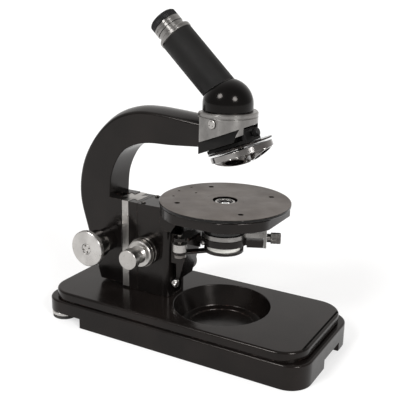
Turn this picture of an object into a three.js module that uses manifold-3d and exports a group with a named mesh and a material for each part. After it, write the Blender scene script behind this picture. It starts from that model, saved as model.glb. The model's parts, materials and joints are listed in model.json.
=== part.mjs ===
// Compound microscope with an inclined monocular head, a dovetail nosepiece, a round
// stage and an adjustable substage on a long flat foot. Millimetres, +Z up. The origin
// is the middle of the foot's underside; +X points from the limb towards the stage.
import * as THREE from 'three';
import { mergeVertices } from 'three/addons/utils/BufferGeometryUtils.js';
import Module from 'manifold-3d';

const wasm = await Module();
wasm.setup();

// ---------------------------------------------------------------- driving dimensions
// Every X below is measured from the optical axis, which stands this far ahead of the
// middle of the foot.
const opticX = 31;

const gap = 0.3;              // between fitted pieces that never move
const running = 0.12;         // radial play between pieces that slide or turn

const foot = {
  back: -169.5, front: 107.5, halfWidth: 60.5, corner: 21,
  lipZ: 23.2, grooveZ: 24.6, grooveDepth: 1.6, topZ: 32.75,
  plateauBack: -164.5, plateauFront: 102.5, plateauHalfWidth: 58.8, plateauCorner: 25,
  wall: 6, roof: 7, roundOver: 1.6,
  rearStepX: -123.8, rearStepZ: 10,
  endLineX: 99, endLineWidth: 1, endLineDepth: 0.8,
};
const well = { radius: 45.9, floorRadius: 39, floorZ: 13, padRadius: 31, padDepth: 0.8 };
const cableNotch = { y0: -9, y1: 29, height: 9 };
const levelling = { x: -155.5, y: 43, discRadius: 13, discZ: 3, discTop: 9, studRadius: 4 };

const pillar = { halfWidth: 16.5, back: -85.3, front: -49.5, topZ: 122.7, corner: 7.5 };
const guide = { back: -95.6, front: -85.6 };
const slide = { back: -103.2, front: -95.9, bottomZ: 34.6, topZ: 123 };
const dovetail = { neck: 6, tip: 9.5, depth: 6 };
const grooveFloorZ = 34.4;    // lower end of the substage dovetail in the pillar
const footScrew = { y: -8.8, z: 46.5, headRadius: 3.8, height: 5.5 };

const rack = { halfWidth: 4, bottomZ: 39, topZ: 119, tooth: 1 };
const pinion = { x: -121.4, z: 79.6, teeth: 12, shaftRadius: 3 };
const pitchRadius = rack.tooth * pinion.teeth / 2;

const arm = {
  halfWidth: 16.5, blockFront: -103.5, ledgeZ: 123.5, crown: 4.8,
  ledgeShare: 0.2475,           // share of the outer curve that lies below the ledge
};

const head = {
  flat: 22.9, flatTurn: THREE.MathUtils.degToRad(21.8),
  radius: 27, topZ: 218, cutX: -19, boreRadius: 12, seatRadius: 20.5, seatZ: 212,
};
const dome = { radius: 22.5, centreZ: 223.4 };
const tubeLean = THREE.MathUtils.degToRad(46.3);
const tubeRootZ = 227.8;
const tube = { radius: 15.35, end: 72.5, bore: 13 };
const eyepiece = { fit: 11.6, collar: 13.3, start: 82.1, shoulder: 87.6, capEnd: 94.5 };

const noseTilt = THREE.MathUtils.degToRad(22);
const noseZ = 197.3;
const turret = { offset: 8.5, radius: 28.5, top: -16.2, band: -21.4, tip: -27.5, portRadius: 8.6, collarRadius: 10.6 };
const noseFront = 23.5;
const tongueHalf = 13.9;
const receiverEnd = { x: 21.5, z: -0.1, slope: 0.9 };    // bevelled end: forward per unit up

const stage = {
  radius: 60, topZ: 136, discZ: 133, bottomZ: 123.5, flatY: 55, flatX: 54.5, aperture: 11.4,
  seatRadius: 31, seatZ: 127, openingRadius: 24,
};
const clipHole = { radius: 2.6, at: 44.8, depth: 2.4 };
const pegHoles = [[-50.4, 2.7], [-45.8, -15], [-33.7, 5.5], [-46.8, 19.6]];
const substage = { halfWidth: 12.5, bottomZ: 53, topZ: 98, travel: 18 };
const carrier = { z0: 95.5, z1: 101.8, radius: 21, bore: 18.9 };
const condenser = { radius: 18.5, topRadius: 9.4, ringInner: 7.5, seatRadius: 5.6, topZ: 134.6 };
const screwAngle = THREE.MathUtils.degToRad(25);
const swing = { x: -29.5, y: -30, z0: 87.6, z1: 90, barrelTop: 97.4, radius: 18.3, glassRadius: 15.4 };

const coarse = { face: 50, discInner: 44.6, disc: 17.6, drum: 13.6, drumInner: 29.6, hub: 11.5 };
const fine = { x: -74, z: 78, face: 50, flange: 13.2, collar: 14.2, shaftRadius: 3 };

const segments = { large: 36, medium: 20, small: 12 };

// ------------------------------------------------------------------------- materials
const finish = (color, roughness, metalness) =>
  new THREE.MeshStandardMaterial({ color, roughness, metalness });
const enamel = finish(0x1d1a19, 0.28, 0.1);
const stageBlack = finish(0x5b5651, 0.5, 0.3);
const satinMetal = finish(0xb9b6b0, 0.38, 1);
const brightMetal = finish(0xd6d5d2, 0.14, 1);
const darkMetal = finish(0x6e6b68, 0.3, 1);
const blackPlastic = finish(0x151515, 0.5, 0);
const glass = finish(0xdde6e8, 0.04, 0);
const opal = finish(0xf3f2ea, 0.35, 0);
const rubber = finish(0x2a2928, 0.85, 0);

// ------------------------------------------------------------------- geometry helpers
function toSolid(geometry) {
  const bare = geometry.clone();
  bare.deleteAttribute('normal');
  bare.deleteAttribute('uv');
  const merged = mergeVertices(bare, 1e-4);
  const index = merged.index.array;
  const triangles = [];
  for (let i = 0; i < index.length; i += 3) {
    const [a, b, c] = [index[i], index[i + 1], index[i + 2]];
    if (a !== b && b !== c && c !== a) triangles.push(a, b, c);
  }
  return new wasm.Manifold(new wasm.Mesh({
    numProp: 3,
    vertProperties: new Float32Array(merged.attributes.position.array),
    triVerts: new Uint32Array(triangles),
  }));
}

function toGeometry(solid) {
  const mesh = solid.getMesh();
  const geometry = new THREE.BufferGeometry();
  geometry.setAttribute('position', new THREE.BufferAttribute(new Float32Array(mesh.vertProperties), 3));
  geometry.setIndex(new THREE.BufferAttribute(new Uint32Array(mesh.triVerts), 1));
  geometry.computeVertexNormals();
  return geometry;
}

const cut = (body, ...tools) => tools.reduce((rest, tool) => rest.subtract(tool), body);
const join = (body, ...others) => others.reduce((sum, other) => sum.add(other), body);

// Solid of revolution about Z. The profile is [radius, z] pairs, anticlockwise.
function turned(profile, count = segments.medium) {
  const points = profile.map(([r, z]) => new THREE.Vector2(r, z));
  const closed = profile[0][0] > 0 ? [...points, points[0].clone()] : points;
  return new THREE.LatheGeometry(closed, count).rotateX(Math.PI / 2);
}

const rod = (radius, z0, z1, count = segments.small) =>
  turned([[0, z0], [radius, z0], [radius, z1], [0, z1]], count);

const ring = (inner, outer, z0, z1, count = segments.medium) =>
  turned([[inner, z0], [outer, z0], [outer, z1], [inner, z1]], count);

// A round hole whose flats stand clear of a shaft of the given radius.
const bore = (radius, z0, z1, count = segments.small) =>
  rod((radius + running) / Math.cos(Math.PI / count), z0, z1, count);

function box(x0, x1, y0, y1, z0, z1) {
  const geometry = new THREE.BoxGeometry(x1 - x0, y1 - y0, z1 - z0);
  return geometry.translate((x0 + x1) / 2, (y0 + y1) / 2, (z0 + z1) / 2);
}

const outline = (pairs) => new THREE.Shape(pairs.map(([u, v]) => new THREE.Vector2(u, v)));

// Plan outline (x, y) raised from z0 to z1.
const raised = (shape, z0, z1, curveSegments = 6) =>
  new THREE.ExtrudeGeometry(shape, { depth: z1 - z0, bevelEnabled: false, curveSegments })
    .translate(0, 0, z0);

// Side outline (x, z) carried across from -halfWidth to +halfWidth.
const sideways = (shape, halfWidth, curveSegments = 6) =>
  new THREE.ExtrudeGeometry(shape, { depth: 2 * halfWidth, bevelEnabled: false, curveSegments })
    .translate(0, 0, -halfWidth).rotateX(Math.PI / 2);

function roundedRectangle(x0, x1, halfWidth, radius) {
  const shape = new THREE.Shape();
  shape.moveTo(x0 + radius, -halfWidth);
  shape.lineTo(x1 - radius, -halfWidth);
  shape.absarc(x1 - radius, -halfWidth + radius, radius, -Math.PI / 2, 0, false);
  shape.lineTo(x1, halfWidth - radius);
  shape.absarc(x1 - radius, halfWidth - radius, radius, 0, Math.PI / 2, false);
  shape.lineTo(x0 + radius, halfWidth);
  shape.absarc(x0 + radius, halfWidth - radius, radius, Math.PI / 2, Math.PI, false);
  shape.lineTo(x0, -halfWidth + radius);
  shape.absarc(x0 + radius, -halfWidth + radius, radius, Math.PI, 1.5 * Math.PI, false);
  return shape;
}

// Dovetail tongue or groove in plan: narrow at x = root, wide at x = root + reach.
const dovetailPlan = (root, reach, slack = 0) => outline([
  [root - Math.sign(reach) * 0.5, -dovetail.neck - slack],
  [root, -dovetail.neck - slack],
  [root + reach, -dovetail.tip - slack],
  [root + reach, dovetail.tip + slack],
  [root, dovetail.neck + slack],
  [root - Math.sign(reach) * 0.5, dovetail.neck + slack],
]);

// A turned piece laid along Y: side +1 points to the far side, -1 to the near side.
const across = (geometry, side, x, z) => geometry.rotateX(-side * Math.PI / 2).translate(x, 0, z);

const stand = new THREE.Group();
stand.position.x = opticX;

function piece(name, shape, material, parent = stand) {
  const solid = shape instanceof THREE.BufferGeometry ? toSolid(shape) : shape;
  const mesh = new THREE.Mesh(toGeometry(solid), material);
  mesh.name = name;
  parent.add(mesh);
}

// ------------------------------------------------------------------------------ foot
function footCasting() {
  const skirt = raised(roundedRectangle(foot.back, foot.front, foot.halfWidth, foot.corner), 0, foot.lipZ);
  const plateauShape = (inset) => roundedRectangle(
    foot.plateauBack + inset, foot.plateauFront - inset,
    foot.plateauHalfWidth - inset, foot.plateauCorner - inset,
  );
  const grooveBand = raised(plateauShape(foot.grooveDepth), foot.lipZ - 1, foot.grooveZ + 1);
  const plateau = raised(plateauShape(0), foot.grooveZ, foot.topZ - foot.roundOver);
  const crownBand = raised(plateauShape(foot.roundOver), foot.topZ - foot.roundOver - 1, foot.topZ);
  const hollow = raised(roundedRectangle(
    foot.back + foot.wall + 4, foot.front - foot.wall - 4,
    foot.halfWidth - foot.wall, foot.corner - foot.wall,
  ), -1, foot.topZ - foot.roof);
  const wellCup = turned([
    [0, 5], [well.radius + 4, 5], [well.radius + 6, foot.topZ - 2], [0, foot.topZ - 2],
  ], segments.large);
  const wellHollow = turned([
    [0, well.floorZ - well.padDepth], [well.padRadius, well.floorZ - well.padDepth],
    [well.padRadius, well.floorZ], [well.floorRadius, well.floorZ],
    [well.radius, foot.topZ], [well.radius, foot.topZ + 2], [0, foot.topZ + 2],
  ], segments.large);
  const rearStep = box(foot.back - 2, foot.rearStepX, -foot.halfWidth - 2, foot.halfWidth + 2, -2, foot.rearStepZ);
  const notch = box(foot.front - foot.wall - 6, foot.front + 2, cableNotch.y0, cableNotch.y1, -2, cableNotch.height);
  const endLine = box(
    foot.endLineX, foot.endLineX + foot.endLineWidth, -40, 43, foot.topZ - foot.endLineDepth, foot.topZ + 1,
  );
  const bossShape = (side) => turned([
    [0, foot.rearStepZ], [levelling.discRadius, foot.rearStepZ], [levelling.discRadius, foot.lipZ - 1],
    [levelling.discRadius - 3, foot.lipZ], [levelling.discRadius - 3, foot.topZ - 2], [0, foot.topZ - 2],
  ]).translate(levelling.x + 3, side * (levelling.y - 3), 0);
  const studHole = (side) => bore(levelling.studRadius, -2, foot.topZ - 6)
    .translate(levelling.x, side * levelling.y, 0);
  let body = join(toSolid(skirt), toSolid(grooveBand), toSolid(plateau), toSolid(crownBand));
  body = body.subtract(toSolid(hollow));
  const cup = toSolid(wellCup);
  body = join(body, cup, toSolid(bossShape(1)), toSolid(bossShape(-1)));
  return cut(
    body, toSolid(wellHollow), toSolid(rearStep), toSolid(notch), toSolid(endLine),
    toSolid(studHole(1)), toSolid(studHole(-1)),
  );
}
piece('base_casting', footCasting(), enamel);

for (const [side, label] of [[-1, 'near'], [1, 'far']]) {
  const x = levelling.x;
  const y = side * levelling.y;
  const stem = turned([
    [0, levelling.discZ], [levelling.discRadius - 1, levelling.discZ],
    [levelling.discRadius, levelling.discZ + 1], [levelling.discRadius, levelling.discTop - 2.4],
    [levelling.discRadius - 2.2, levelling.discTop - 0.2], [levelling.studRadius, levelling.discTop - 0.2],
    [levelling.studRadius, foot.topZ - 8], [0, foot.topZ - 8],
  ]);
  piece(`levelling_screw_${label}`, stem.translate(x, y, 0), satinMetal);
  const pad = turned([
    [0, 0], [levelling.discRadius - 1.2, 0], [levelling.discRadius - 0.6, 0.6],
    [levelling.discRadius - 0.6, levelling.discZ - gap], [0, levelling.discZ - gap],
  ]);
  piece(`levelling_pad_${label}`, pad.translate(x, y, 0), rubber);
}

// ---------------------------------------------------------------------------- pillar
function pillarPlan(slack = 0) {
  const { back, front, halfWidth, corner } = pillar;
  const half = halfWidth + slack;
  const radius = corner + slack;
  const shape = new THREE.Shape();
  shape.moveTo(back, -half);
  shape.lineTo(front + slack - radius, -half);
  shape.absarc(front + slack - radius, -half + radius, radius, -Math.PI / 2, 0, false);
  shape.lineTo(front + slack, half - radius);
  shape.absarc(front + slack - radius, half - radius, radius, 0, Math.PI / 2, false);
  shape.lineTo(back, half);
  return shape;
}

function pillarBlock() {
  const body = toSolid(raised(pillarPlan(), foot.topZ + gap, pillar.topZ));
  const groove = toSolid(raised(dovetailPlan(pillar.front, -dovetail.depth - running, running), grooveFloorZ, 128));
  const chamber = toSolid(box(pillar.back - 1, -63, -8, 8, 66, 97));
  const shaftHole = bore(fine.shaftRadius, -30, 30).rotateX(Math.PI / 2).translate(fine.x, 0, fine.z);
  return cut(body, groove, chamber, toSolid(shaftHole));
}
piece('pillar_block', pillarBlock(), enamel);

const guideBlock = toSolid(box(guide.back, guide.front, -pillar.halfWidth, pillar.halfWidth, foot.topZ + gap, pillar.topZ));
const guideGroove = toSolid(raised(dovetailPlan(guide.back, dovetail.depth + running, running), 20, 130));
piece('slide_guide', cut(guideBlock, guideGroove), enamel);

for (const [label, x, y] of [['near', -81, -12], ['far', -81, 12]]) {
  const screw = turned([[0, 0.15], [2.2, 0.15], [2.2, 0.9], [1.4, 1.5], [0, 1.5]], segments.small);
  piece(`pillar_screw_${label}`, screw.translate(x, y, pillar.topZ), darkMetal);
}

const { headRadius, height: screwHeight } = footScrew;
piece('pillar_foot_screw', turned([
  [0, gap], [headRadius - 0.9, gap], [headRadius - 0.9, 2], [headRadius, 2],
  [headRadius, screwHeight - 0.7], [headRadius - 0.7, screwHeight], [0, screwHeight],
], segments.small).rotateY(Math.PI / 2).translate(pillar.front, footScrew.y, footScrew.z), satinMetal);

// -------------------------------------------- coarse and fine motion of the limb
function slideBar() {
  const plate = box(slide.back, slide.front, -arm.halfWidth, arm.halfWidth, slide.bottomZ, slide.topZ);
  const front = raised(dovetailPlan(guide.back, dovetail.depth), slide.bottomZ, slide.topZ);
  const rear = raised(dovetailPlan(arm.blockFront, -dovetail.depth), slide.bottomZ, slide.topZ);
  return join(toSolid(plate), toSolid(front), toSolid(rear));
}
piece('fine_slide', slideBar(), satinMetal);

// Straight-sided teeth, one pitch apart, thinned for backlash.
const toothPitch = Math.PI * rack.tooth;
const toothSlope = Math.tan(THREE.MathUtils.degToRad(20));
const toothHalf = toothPitch / 4 - 0.12;
function rackBar() {
  const backX = arm.blockFront - dovetail.depth - gap;
  const rootX = pinion.x + pitchRadius + 1.2 * rack.tooth;
  const tipX = pinion.x + pitchRadius - 0.85 * rack.tooth;
  const rootHalf = toothHalf + 1.2 * rack.tooth * toothSlope;
  const tipHalf = toothHalf - 0.85 * rack.tooth * toothSlope;
  const points = [[backX, rack.bottomZ], [backX, rack.topZ], [rootX, rack.topZ]];
  const lowest = Math.ceil((rack.bottomZ - pinion.z + rootHalf) / toothPitch);
  const highest = Math.floor((rack.topZ - pinion.z - rootHalf) / toothPitch);
  for (let i = highest; i >= lowest; i -= 1) {
    const z = pinion.z + i * toothPitch;
    points.push([rootX, z + rootHalf], [tipX, z + tipHalf], [tipX, z - tipHalf], [rootX, z - rootHalf]);
  }
  points.push([rootX, rack.bottomZ]);
  return sideways(outline(points), rack.halfWidth);
}
piece('coarse_rack', rackBar(), satinMetal);

function pinionShaft() {
  const root = pitchRadius - 1.15 * rack.tooth;
  const tip = pitchRadius + 0.8 * rack.tooth;
  const step = 2 * Math.PI / pinion.teeth;
  const toothArc = step / 4 - 0.02;
  const polar = (radius, angle) => [radius * Math.cos(angle), radius * Math.sin(angle)];
  const points = [];
  for (let i = 0; i < pinion.teeth; i += 1) {
    const middle = (i + 0.5) * step;
    points.push(polar(root, middle - toothArc * 1.45), polar(pitchRadius, middle - toothArc));
    points.push(polar(tip, middle - toothArc * 0.42), polar(tip, middle + toothArc * 0.42));
    points.push(polar(pitchRadius, middle + toothArc), polar(root, middle + toothArc * 1.45));
  }
  const gear = raised(outline(points), -rack.halfWidth, rack.halfWidth);
  const shaft = rod(pinion.shaftRadius, -coarse.discInner + gap, coarse.discInner - gap);
  return join(toSolid(gear), toSolid(shaft)).rotate([90, 0, 0]).translate([pinion.x, 0, pinion.z]);
}
piece('coarse_pinion', pinionShaft(), darkMetal);

// Limb: a loft of crowned cross-sections from the foot of the slide block, up the back
// and forward to the head. Each station pairs an inner point with an outer one.
const outerCurve = new THREE.SplineCurve([
  [-130.4, 36.9], [-144.7, 84.6], [-153.3, 119], [-149.8, 150], [-136.2, 176.8],
  [-115.6, 198], [-92.6, 208.3], [-66, 210.4], [-19.3, 206],
].map(([x, z]) => new THREE.Vector2(x, z)));
const innerCurve = new THREE.SplineCurve([
  [-117.8, 123.8], [-115.5, 146], [-106, 166], [-93, 176.8], [-74, 182.2], [-48, 183.4], [-19.3, 185.5],
].map(([x, z]) => new THREE.Vector2(x, z)));

function crownedSection(inner, outer) {
  const along = outer.clone().sub(inner).normalize();
  const section = [[inner, -arm.halfWidth], [outer, -arm.halfWidth]];
  const steps = 6;
  for (let i = 1; i < steps; i += 1) {
    const u = -1 + 2 * i / steps;
    const rise = arm.crown * (1 - u * u);
    section.push([outer.clone().addScaledVector(along, rise), u * arm.halfWidth]);
  }
  section.push([outer, arm.halfWidth], [inner, arm.halfWidth]);
  return section.map(([point, y]) => new THREE.Vector3(point.x, y, point.y));
}

function loft(sections) {
  const size = sections[0].length;
  const vertices = sections.flat().flatMap((p) => [p.x, p.y, p.z]);
  const faces = [];
  for (let i = 0; i + 1 < sections.length; i += 1) {
    for (let j = 0; j < size; j += 1) {
      const a = i * size + j;
      const b = i * size + (j + 1) % size;
      faces.push(a, b + size, b, a, a + size, b + size);
    }
  }
  const last = (sections.length - 1) * size;
  for (let j = 1; j + 1 < size; j += 1) {
    faces.push(0, j, j + 1, last, last + j + 1, last + j);
  }
  const geometry = new THREE.BufferGeometry();
  geometry.setAttribute('position', new THREE.Float32BufferAttribute(vertices, 3));
  geometry.setIndex(faces);
  return geometry;
}

function limb() {
  const sections = [];
  const bowSteps = 30;
  for (let i = 0; i <= bowSteps; i += 1) {
    const t = i / bowSteps;
    const outer = outerCurve.getPoint(arm.ledgeShare + (1 - arm.ledgeShare) * t);
    sections.push(crownedSection(innerCurve.getPoint(t), outer));
  }
  const blockSteps = 5;
  const block = [];
  for (let i = 0; i <= blockSteps; i += 1) {
    const outer = outerCurve.getPoint((arm.ledgeShare + 0.012) * i / blockSteps);
    block.push(crownedSection(new THREE.Vector2(arm.blockFront, outer.y), outer));
  }
  const body = join(toSolid(loft(sections)), toSolid(loft(block)));
  const topTrim = toSolid(box(arm.blockFront - 14.2, arm.blockFront + 2, -20, 20, arm.ledgeZ, arm.ledgeZ + 20));
  const groove = toSolid(raised(dovetailPlan(arm.blockFront, -dovetail.depth - running, running), 20, 130));
  const rackSlot = toSolid(box(-117.2, arm.blockFront, -rack.halfWidth - gap, rack.halfWidth + gap, 20, 130));
  const pinionPocket = toSolid(rod(8, -rack.halfWidth - gap, rack.halfWidth + gap)
    .rotateX(Math.PI / 2).translate(pinion.x, 0, pinion.z));
  const shaftHole = toSolid(bore(pinion.shaftRadius, -30, 30).rotateX(Math.PI / 2).translate(pinion.x, 0, pinion.z));
  return cut(body, topTrim, groove, rackSlot, pinionPocket, shaftHole);
}
piece('limb', limb(), enamel);

for (const [side, label] of [[-1, 'near'], [1, 'far']]) {
  const onPinion = (geometry) => across(geometry, side, pinion.x, pinion.z);
  const onFine = (geometry) => across(geometry, side, fine.x, fine.z);
  const hub = ring(pinion.shaftRadius + 0.4, coarse.hub, arm.halfWidth + gap, coarse.drumInner - gap);
  piece(`coarse_hub_${label}`, onPinion(hub), enamel);
  const drum = turned([
    [pinion.shaftRadius + 0.4, coarse.drumInner], [coarse.drum - 1, coarse.drumInner],
    [coarse.drum, coarse.drumInner + 1], [coarse.drum, coarse.discInner - gap],
    [pinion.shaftRadius + 0.4, coarse.discInner - gap],
  ]);
  piece(`coarse_drum_${label}`, onPinion(drum), satinMetal);
  const knob = turned([
    [5.2, coarse.discInner], [coarse.disc - 0.8, coarse.discInner], [coarse.disc, coarse.discInner + 0.8],
    [coarse.disc, coarse.face - 0.8], [coarse.disc - 0.8, coarse.face], [5.2, coarse.face],
  ], segments.large);
  piece(`coarse_knob_${label}`, onPinion(knob), satinMetal);
  const plug = rod(4.9, coarse.discInner + gap, coarse.face - 0.4, segments.small);
  piece(`coarse_knob_screw_${label}`, onPinion(plug), satinMetal);
  const collar = turned([
    [fine.shaftRadius + 0.4, pillar.halfWidth + gap], [fine.collar, pillar.halfWidth + gap],
    [fine.collar, 22.4], [fine.collar - 1, 22.8], [fine.collar - 1, 23.4], [fine.collar, 23.8],
    [fine.collar, 27], [fine.shaftRadius + 0.4, 27],
  ]);
  piece(`fine_collar_${label}`, onFine(collar), darkMetal);
  const knobEnd = turned([
    [fine.shaftRadius + 0.15, 27.4], [fine.flange, 27.4], [fine.flange, 30.4], [fine.flange - 0.9, 31.3],
    [8.6, 31.6], [7, 34], [6.4, 38], [6.8, 41.4], [9, 41.8], [9.6, 42.4],
    [9.6, fine.face - 0.6], [9, fine.face], [0, fine.face], [0, 47], [fine.shaftRadius + 0.15, 47],
  ]);
  piece(`fine_knob_${label}`, onFine(knobEnd), satinMetal);
}
const fineShaft = rod(fine.shaftRadius, -46.6, 46.6).rotateX(Math.PI / 2).translate(fine.x, 0, fine.z);
piece('fine_shaft', fineShaft, darkMetal);

// ------------------------------------------------------------------------------ head
const nose = new THREE.Group();
nose.position.z = noseZ;
nose.rotation.y = -noseTilt;
stand.add(nose);
// Carries a solid from the tilted nosepiece frame into the stand's frame.
const fromNose = (solid) => solid.rotate([0, -THREE.MathUtils.radToDeg(noseTilt), 0]).translate([0, 0, noseZ]);
const toNose = (solid) => solid.translate([0, 0, -noseZ]).rotate([0, THREE.MathUtils.radToDeg(noseTilt), 0]);

function headCasting() {
  const body = turned([
    [0, 170], [head.radius, 170], [head.radius, 213.4], [head.radius - 0.6, 213.8], [head.radius - 0.6, 214.2],
    [head.radius, 214.6], [head.radius, head.topZ - 1], [head.radius - 1, head.topZ], [0, head.topZ],
  ], segments.large);
  // The underside follows the tilted dovetail, with a lip left on each side ahead of its bevelled end.
  const endX = (z) => receiverEnd.x + receiverEnd.slope * (z - receiverEnd.z) + 1.5 * gap;
  const lip = toSolid(sideways(outline([[endX(1), 1], [endX(-5.2), -5.2], [40, -5.2], [40, 1]]), head.radius));
  const sides = toSolid(box(0, 40, -tongueHalf - 0.5, tongueHalf + 0.5, -20, 20));
  const below = fromNose(cut(toSolid(box(-80, 80, -60, 60, -60, gap)), cut(lip, sides)));
  const behind = toSolid(box(-60, head.cutX, -40, 40, 150, 240));
  const lightPath = toSolid(rod(head.boreRadius, 150, 240, segments.medium));
  const seat = toSolid(rod(head.seatRadius, head.seatZ, 240, segments.medium));
  const farFlat = toSolid(box(-40, 40, head.flat, 60, 150, 213.4).rotateZ(head.flatTurn));
  const nearFlat = toSolid(box(-40, 40, -60, -head.flat, 150, 213.4).rotateZ(-head.flatTurn));
  return cut(toSolid(body), below, behind, lightPath, seat, farFlat, nearFlat);
}
piece('head_casting', headCasting(), satinMetal);

const spannerScrew = turned([
  [0, 0], [4.4, 0], [4.4, 0.6], [3.9, 1.1], [0, 1.1],
], segments.small).rotateX(Math.PI / 2).translate(6.5, -head.flat - gap, 208.8).rotateZ(-head.flatTurn);
piece('head_clamp_screw', spannerScrew, satinMetal);

function receiver() {
  const bar = toSolid(box(-40, receiverEnd.x, -18.3, 18.3, -9.4, receiverEnd.z));
  const behind = toNose(toSolid(box(-60, head.cutX, -40, 40, 120, 240)));
  const bevel = toSolid(box(0, 30, -30, 30, -30, 0)
    .rotateY(Math.atan(receiverEnd.slope)).translate(receiverEnd.x, 0, receiverEnd.z));
  const wide = tongueHalf + gap;
  const channel = outline([
    [-wide, 0.2], [-wide, -2.2], [-10.4, -7], [-10.4, -12], [10.4, -12], [10.4, -7], [wide, -2.2], [wide, 0.2],
  ]);
  const tunnel = new THREE.ExtrudeGeometry(channel, { depth: 90, bevelEnabled: false })
    .rotateX(Math.PI / 2).rotateZ(Math.PI / 2).translate(-18, 0, 0);
  return cut(bar, behind, bevel, toSolid(tunnel));
}
piece('nose_receiver', receiver(), enamel, nose);

function noseSlide() {
  const tongue = outline([
    [-10.1, -12.9], [10.1, -12.9], [10.1, -7], [tongueHalf, -2.4], [tongueHalf, -1],
    [-tongueHalf, -1], [-tongueHalf, -2.4], [-10.1, -7],
  ]);
  const bar = toSolid(new THREE.ExtrudeGeometry(tongue, { depth: 38, bevelEnabled: false })
    .rotateX(Math.PI / 2).rotateZ(Math.PI / 2).translate(-17.5, 0, 0));
  const block = toSolid(box(20, noseFront, -tongueHalf, tongueHalf, -12.9, -2.4));
  const plate = toSolid(box(-17.5, noseFront, -tongueHalf, tongueHalf, -12.9, -9.8));
  const lightPath = toNose(toSolid(rod(8, 150, 240)));
  const pivot = toSolid(bore(3, -20, -5).translate(turret.offset, 0, 0));
  return cut(join(bar, block, plate), lightPath, pivot);
}
piece('nose_slide', noseSlide(), enamel, nose);

function guardPlate() {
  const plate = toSolid(rod(turret.radius + 0.8, -14.6, -13.2, segments.large).translate(turret.offset, 0, 0));
  const lightPath = toNose(toSolid(rod(8, 150, 240)));
  const pivot = toSolid(bore(3, -20, -5).translate(turret.offset, 0, 0));
  return cut(plate, lightPath, pivot);
}
piece('turret_guard', guardPlate(), enamel, nose);

const lockKnob = turned([
  [0, gap], [2.4, gap], [2.4, 1.6], [3.7, 2], [3.7, 6], [3.1, 6.6], [0, 6.6],
], segments.small).rotateY(Math.PI / 2).translate(noseFront, 0, -6.4);
piece('nose_lock_knob', lockKnob, blackPlastic, nose);

function turretBody() {
  const place = (geometry) => toSolid(geometry.translate(turret.offset, 0, 0));
  let body = place(turned([
    [0, turret.tip], [9, turret.tip], [turret.radius - 2, turret.band - 0.4], [turret.radius, turret.band],
    [turret.radius, turret.top - 0.4], [turret.radius - 0.4, turret.top], [0, turret.top],
  ], segments.large));
  const portsAt = (geometry) => [0, 1, 2, 3].map((turn) => toNose(toSolid(geometry))
    .translate([-turret.offset, 0, 0]).rotate([0, 0, 90 * turn]).translate([turret.offset, 0, 0]));
  body = join(body, ...portsAt(rod(turret.collarRadius, noseZ - 27.6, noseZ - 22, segments.medium)));
  const overTop = toSolid(box(-40, 60, -40, 40, turret.top, 20));
  const pivot = toSolid(bore(3, -40, 0).translate(turret.offset, 0, 0));
  return cut(body, ...portsAt(rod(turret.portRadius, 150, 240, segments.small)), overTop, pivot);
}
piece('turret', turretBody(), brightMetal, nose);

const pivotScrew = turned([
  [0, turret.tip - 2.4], [4.6, turret.tip - 2.4], [5.2, turret.tip - 1.8], [5.2, turret.tip - gap],
  [3, turret.tip - gap], [3, -8.5], [0, -8.5],
], segments.small).translate(turret.offset, 0, 0);
piece('turret_screw', pivotScrew, satinMetal, nose);

const lean = new THREE.Group();
lean.position.z = tubeRootZ;
lean.rotation.y = -tubeLean;
stand.add(lean);
const leanDegrees = THREE.MathUtils.radToDeg(tubeLean);
const fromLean = (solid) => solid.rotate([0, -leanDegrees, 0]).translate([0, 0, tubeRootZ]);
const toLean = (solid) => solid.translate([0, 0, -tubeRootZ]).rotate([0, leanDegrees, 0]);

function domeProfile(radius, fromZ) {
  const profile = [[0, fromZ], [radius, fromZ]];
  const steps = 10;
  for (let i = 0; i <= steps; i += 1) {
    const angle = i / steps * Math.PI / 2;
    profile.push([i === steps ? 0 : radius * Math.cos(angle), dome.centreZ + radius * Math.sin(angle)]);
  }
  return profile;
}

function prismHousing() {
  const shell = toSolid(turned(domeProfile(dome.radius, head.topZ + gap), segments.large));
  const spigot = toSolid(rod(head.seatRadius - gap, head.seatZ + gap, head.topZ + 1, segments.medium));
  const chamber = toSolid(rod(16, 200, 233, segments.medium));
  const tubeHole = fromLean(toSolid(rod(tube.bore, 0, 40, segments.medium)));
  return cut(join(shell, spigot), chamber, tubeHole);
}
piece('prism_housing', prismHousing(), enamel);

// A right-angled block whose long face turns the light up the inclined tube.
const prismBlock = sideways(outline([[-9, 219], [9, 219], [9, 227], [-2, 232.4], [-9, 226]]), 9);
piece('deflecting_prism', prismBlock, glass);

const tubeShell = toSolid(turned([
  [tube.bore, 8], [tube.radius, 8], [tube.radius, tube.end], [tube.bore, tube.end],
], segments.large));
const domeClearance = toLean(toSolid(turned(domeProfile(dome.radius + gap, 190), segments.large)));
piece('body_tube', cut(tubeShell, domeClearance), enamel, lean);

const eyeFit = eyepiece.fit + running + 0.1;
piece('tube_flange', turned([
  [eyeFit, tube.end + gap], [15.3, tube.end + gap], [15.9, tube.end + 0.9], [15.9, 76], [15.2, 76.9],
  [12.7, 77.1], [12.7, 81.8], [eyeFit, 81.8],
]), satinMetal, lean);

piece('eyepiece_barrel', turned([
  [9.8, 48], [eyepiece.fit, 48], [eyepiece.fit, eyepiece.start], [eyepiece.collar, eyepiece.start],
  [eyepiece.collar, 84.2], [12.8, 84.6], [12.8, 85.2], [eyepiece.collar, 85.6],
  [eyepiece.collar, eyepiece.shoulder], [9.8, eyepiece.shoulder],
]), satinMetal, lean);

piece('eye_cap', turned([
  [5.4, eyepiece.shoulder + gap], [13.2, eyepiece.shoulder + gap], [13.2, 93.4], [12.2, eyepiece.capEnd],
  [9.5, eyepiece.capEnd], [5.4, 92.6],
]), blackPlastic, lean);

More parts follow.
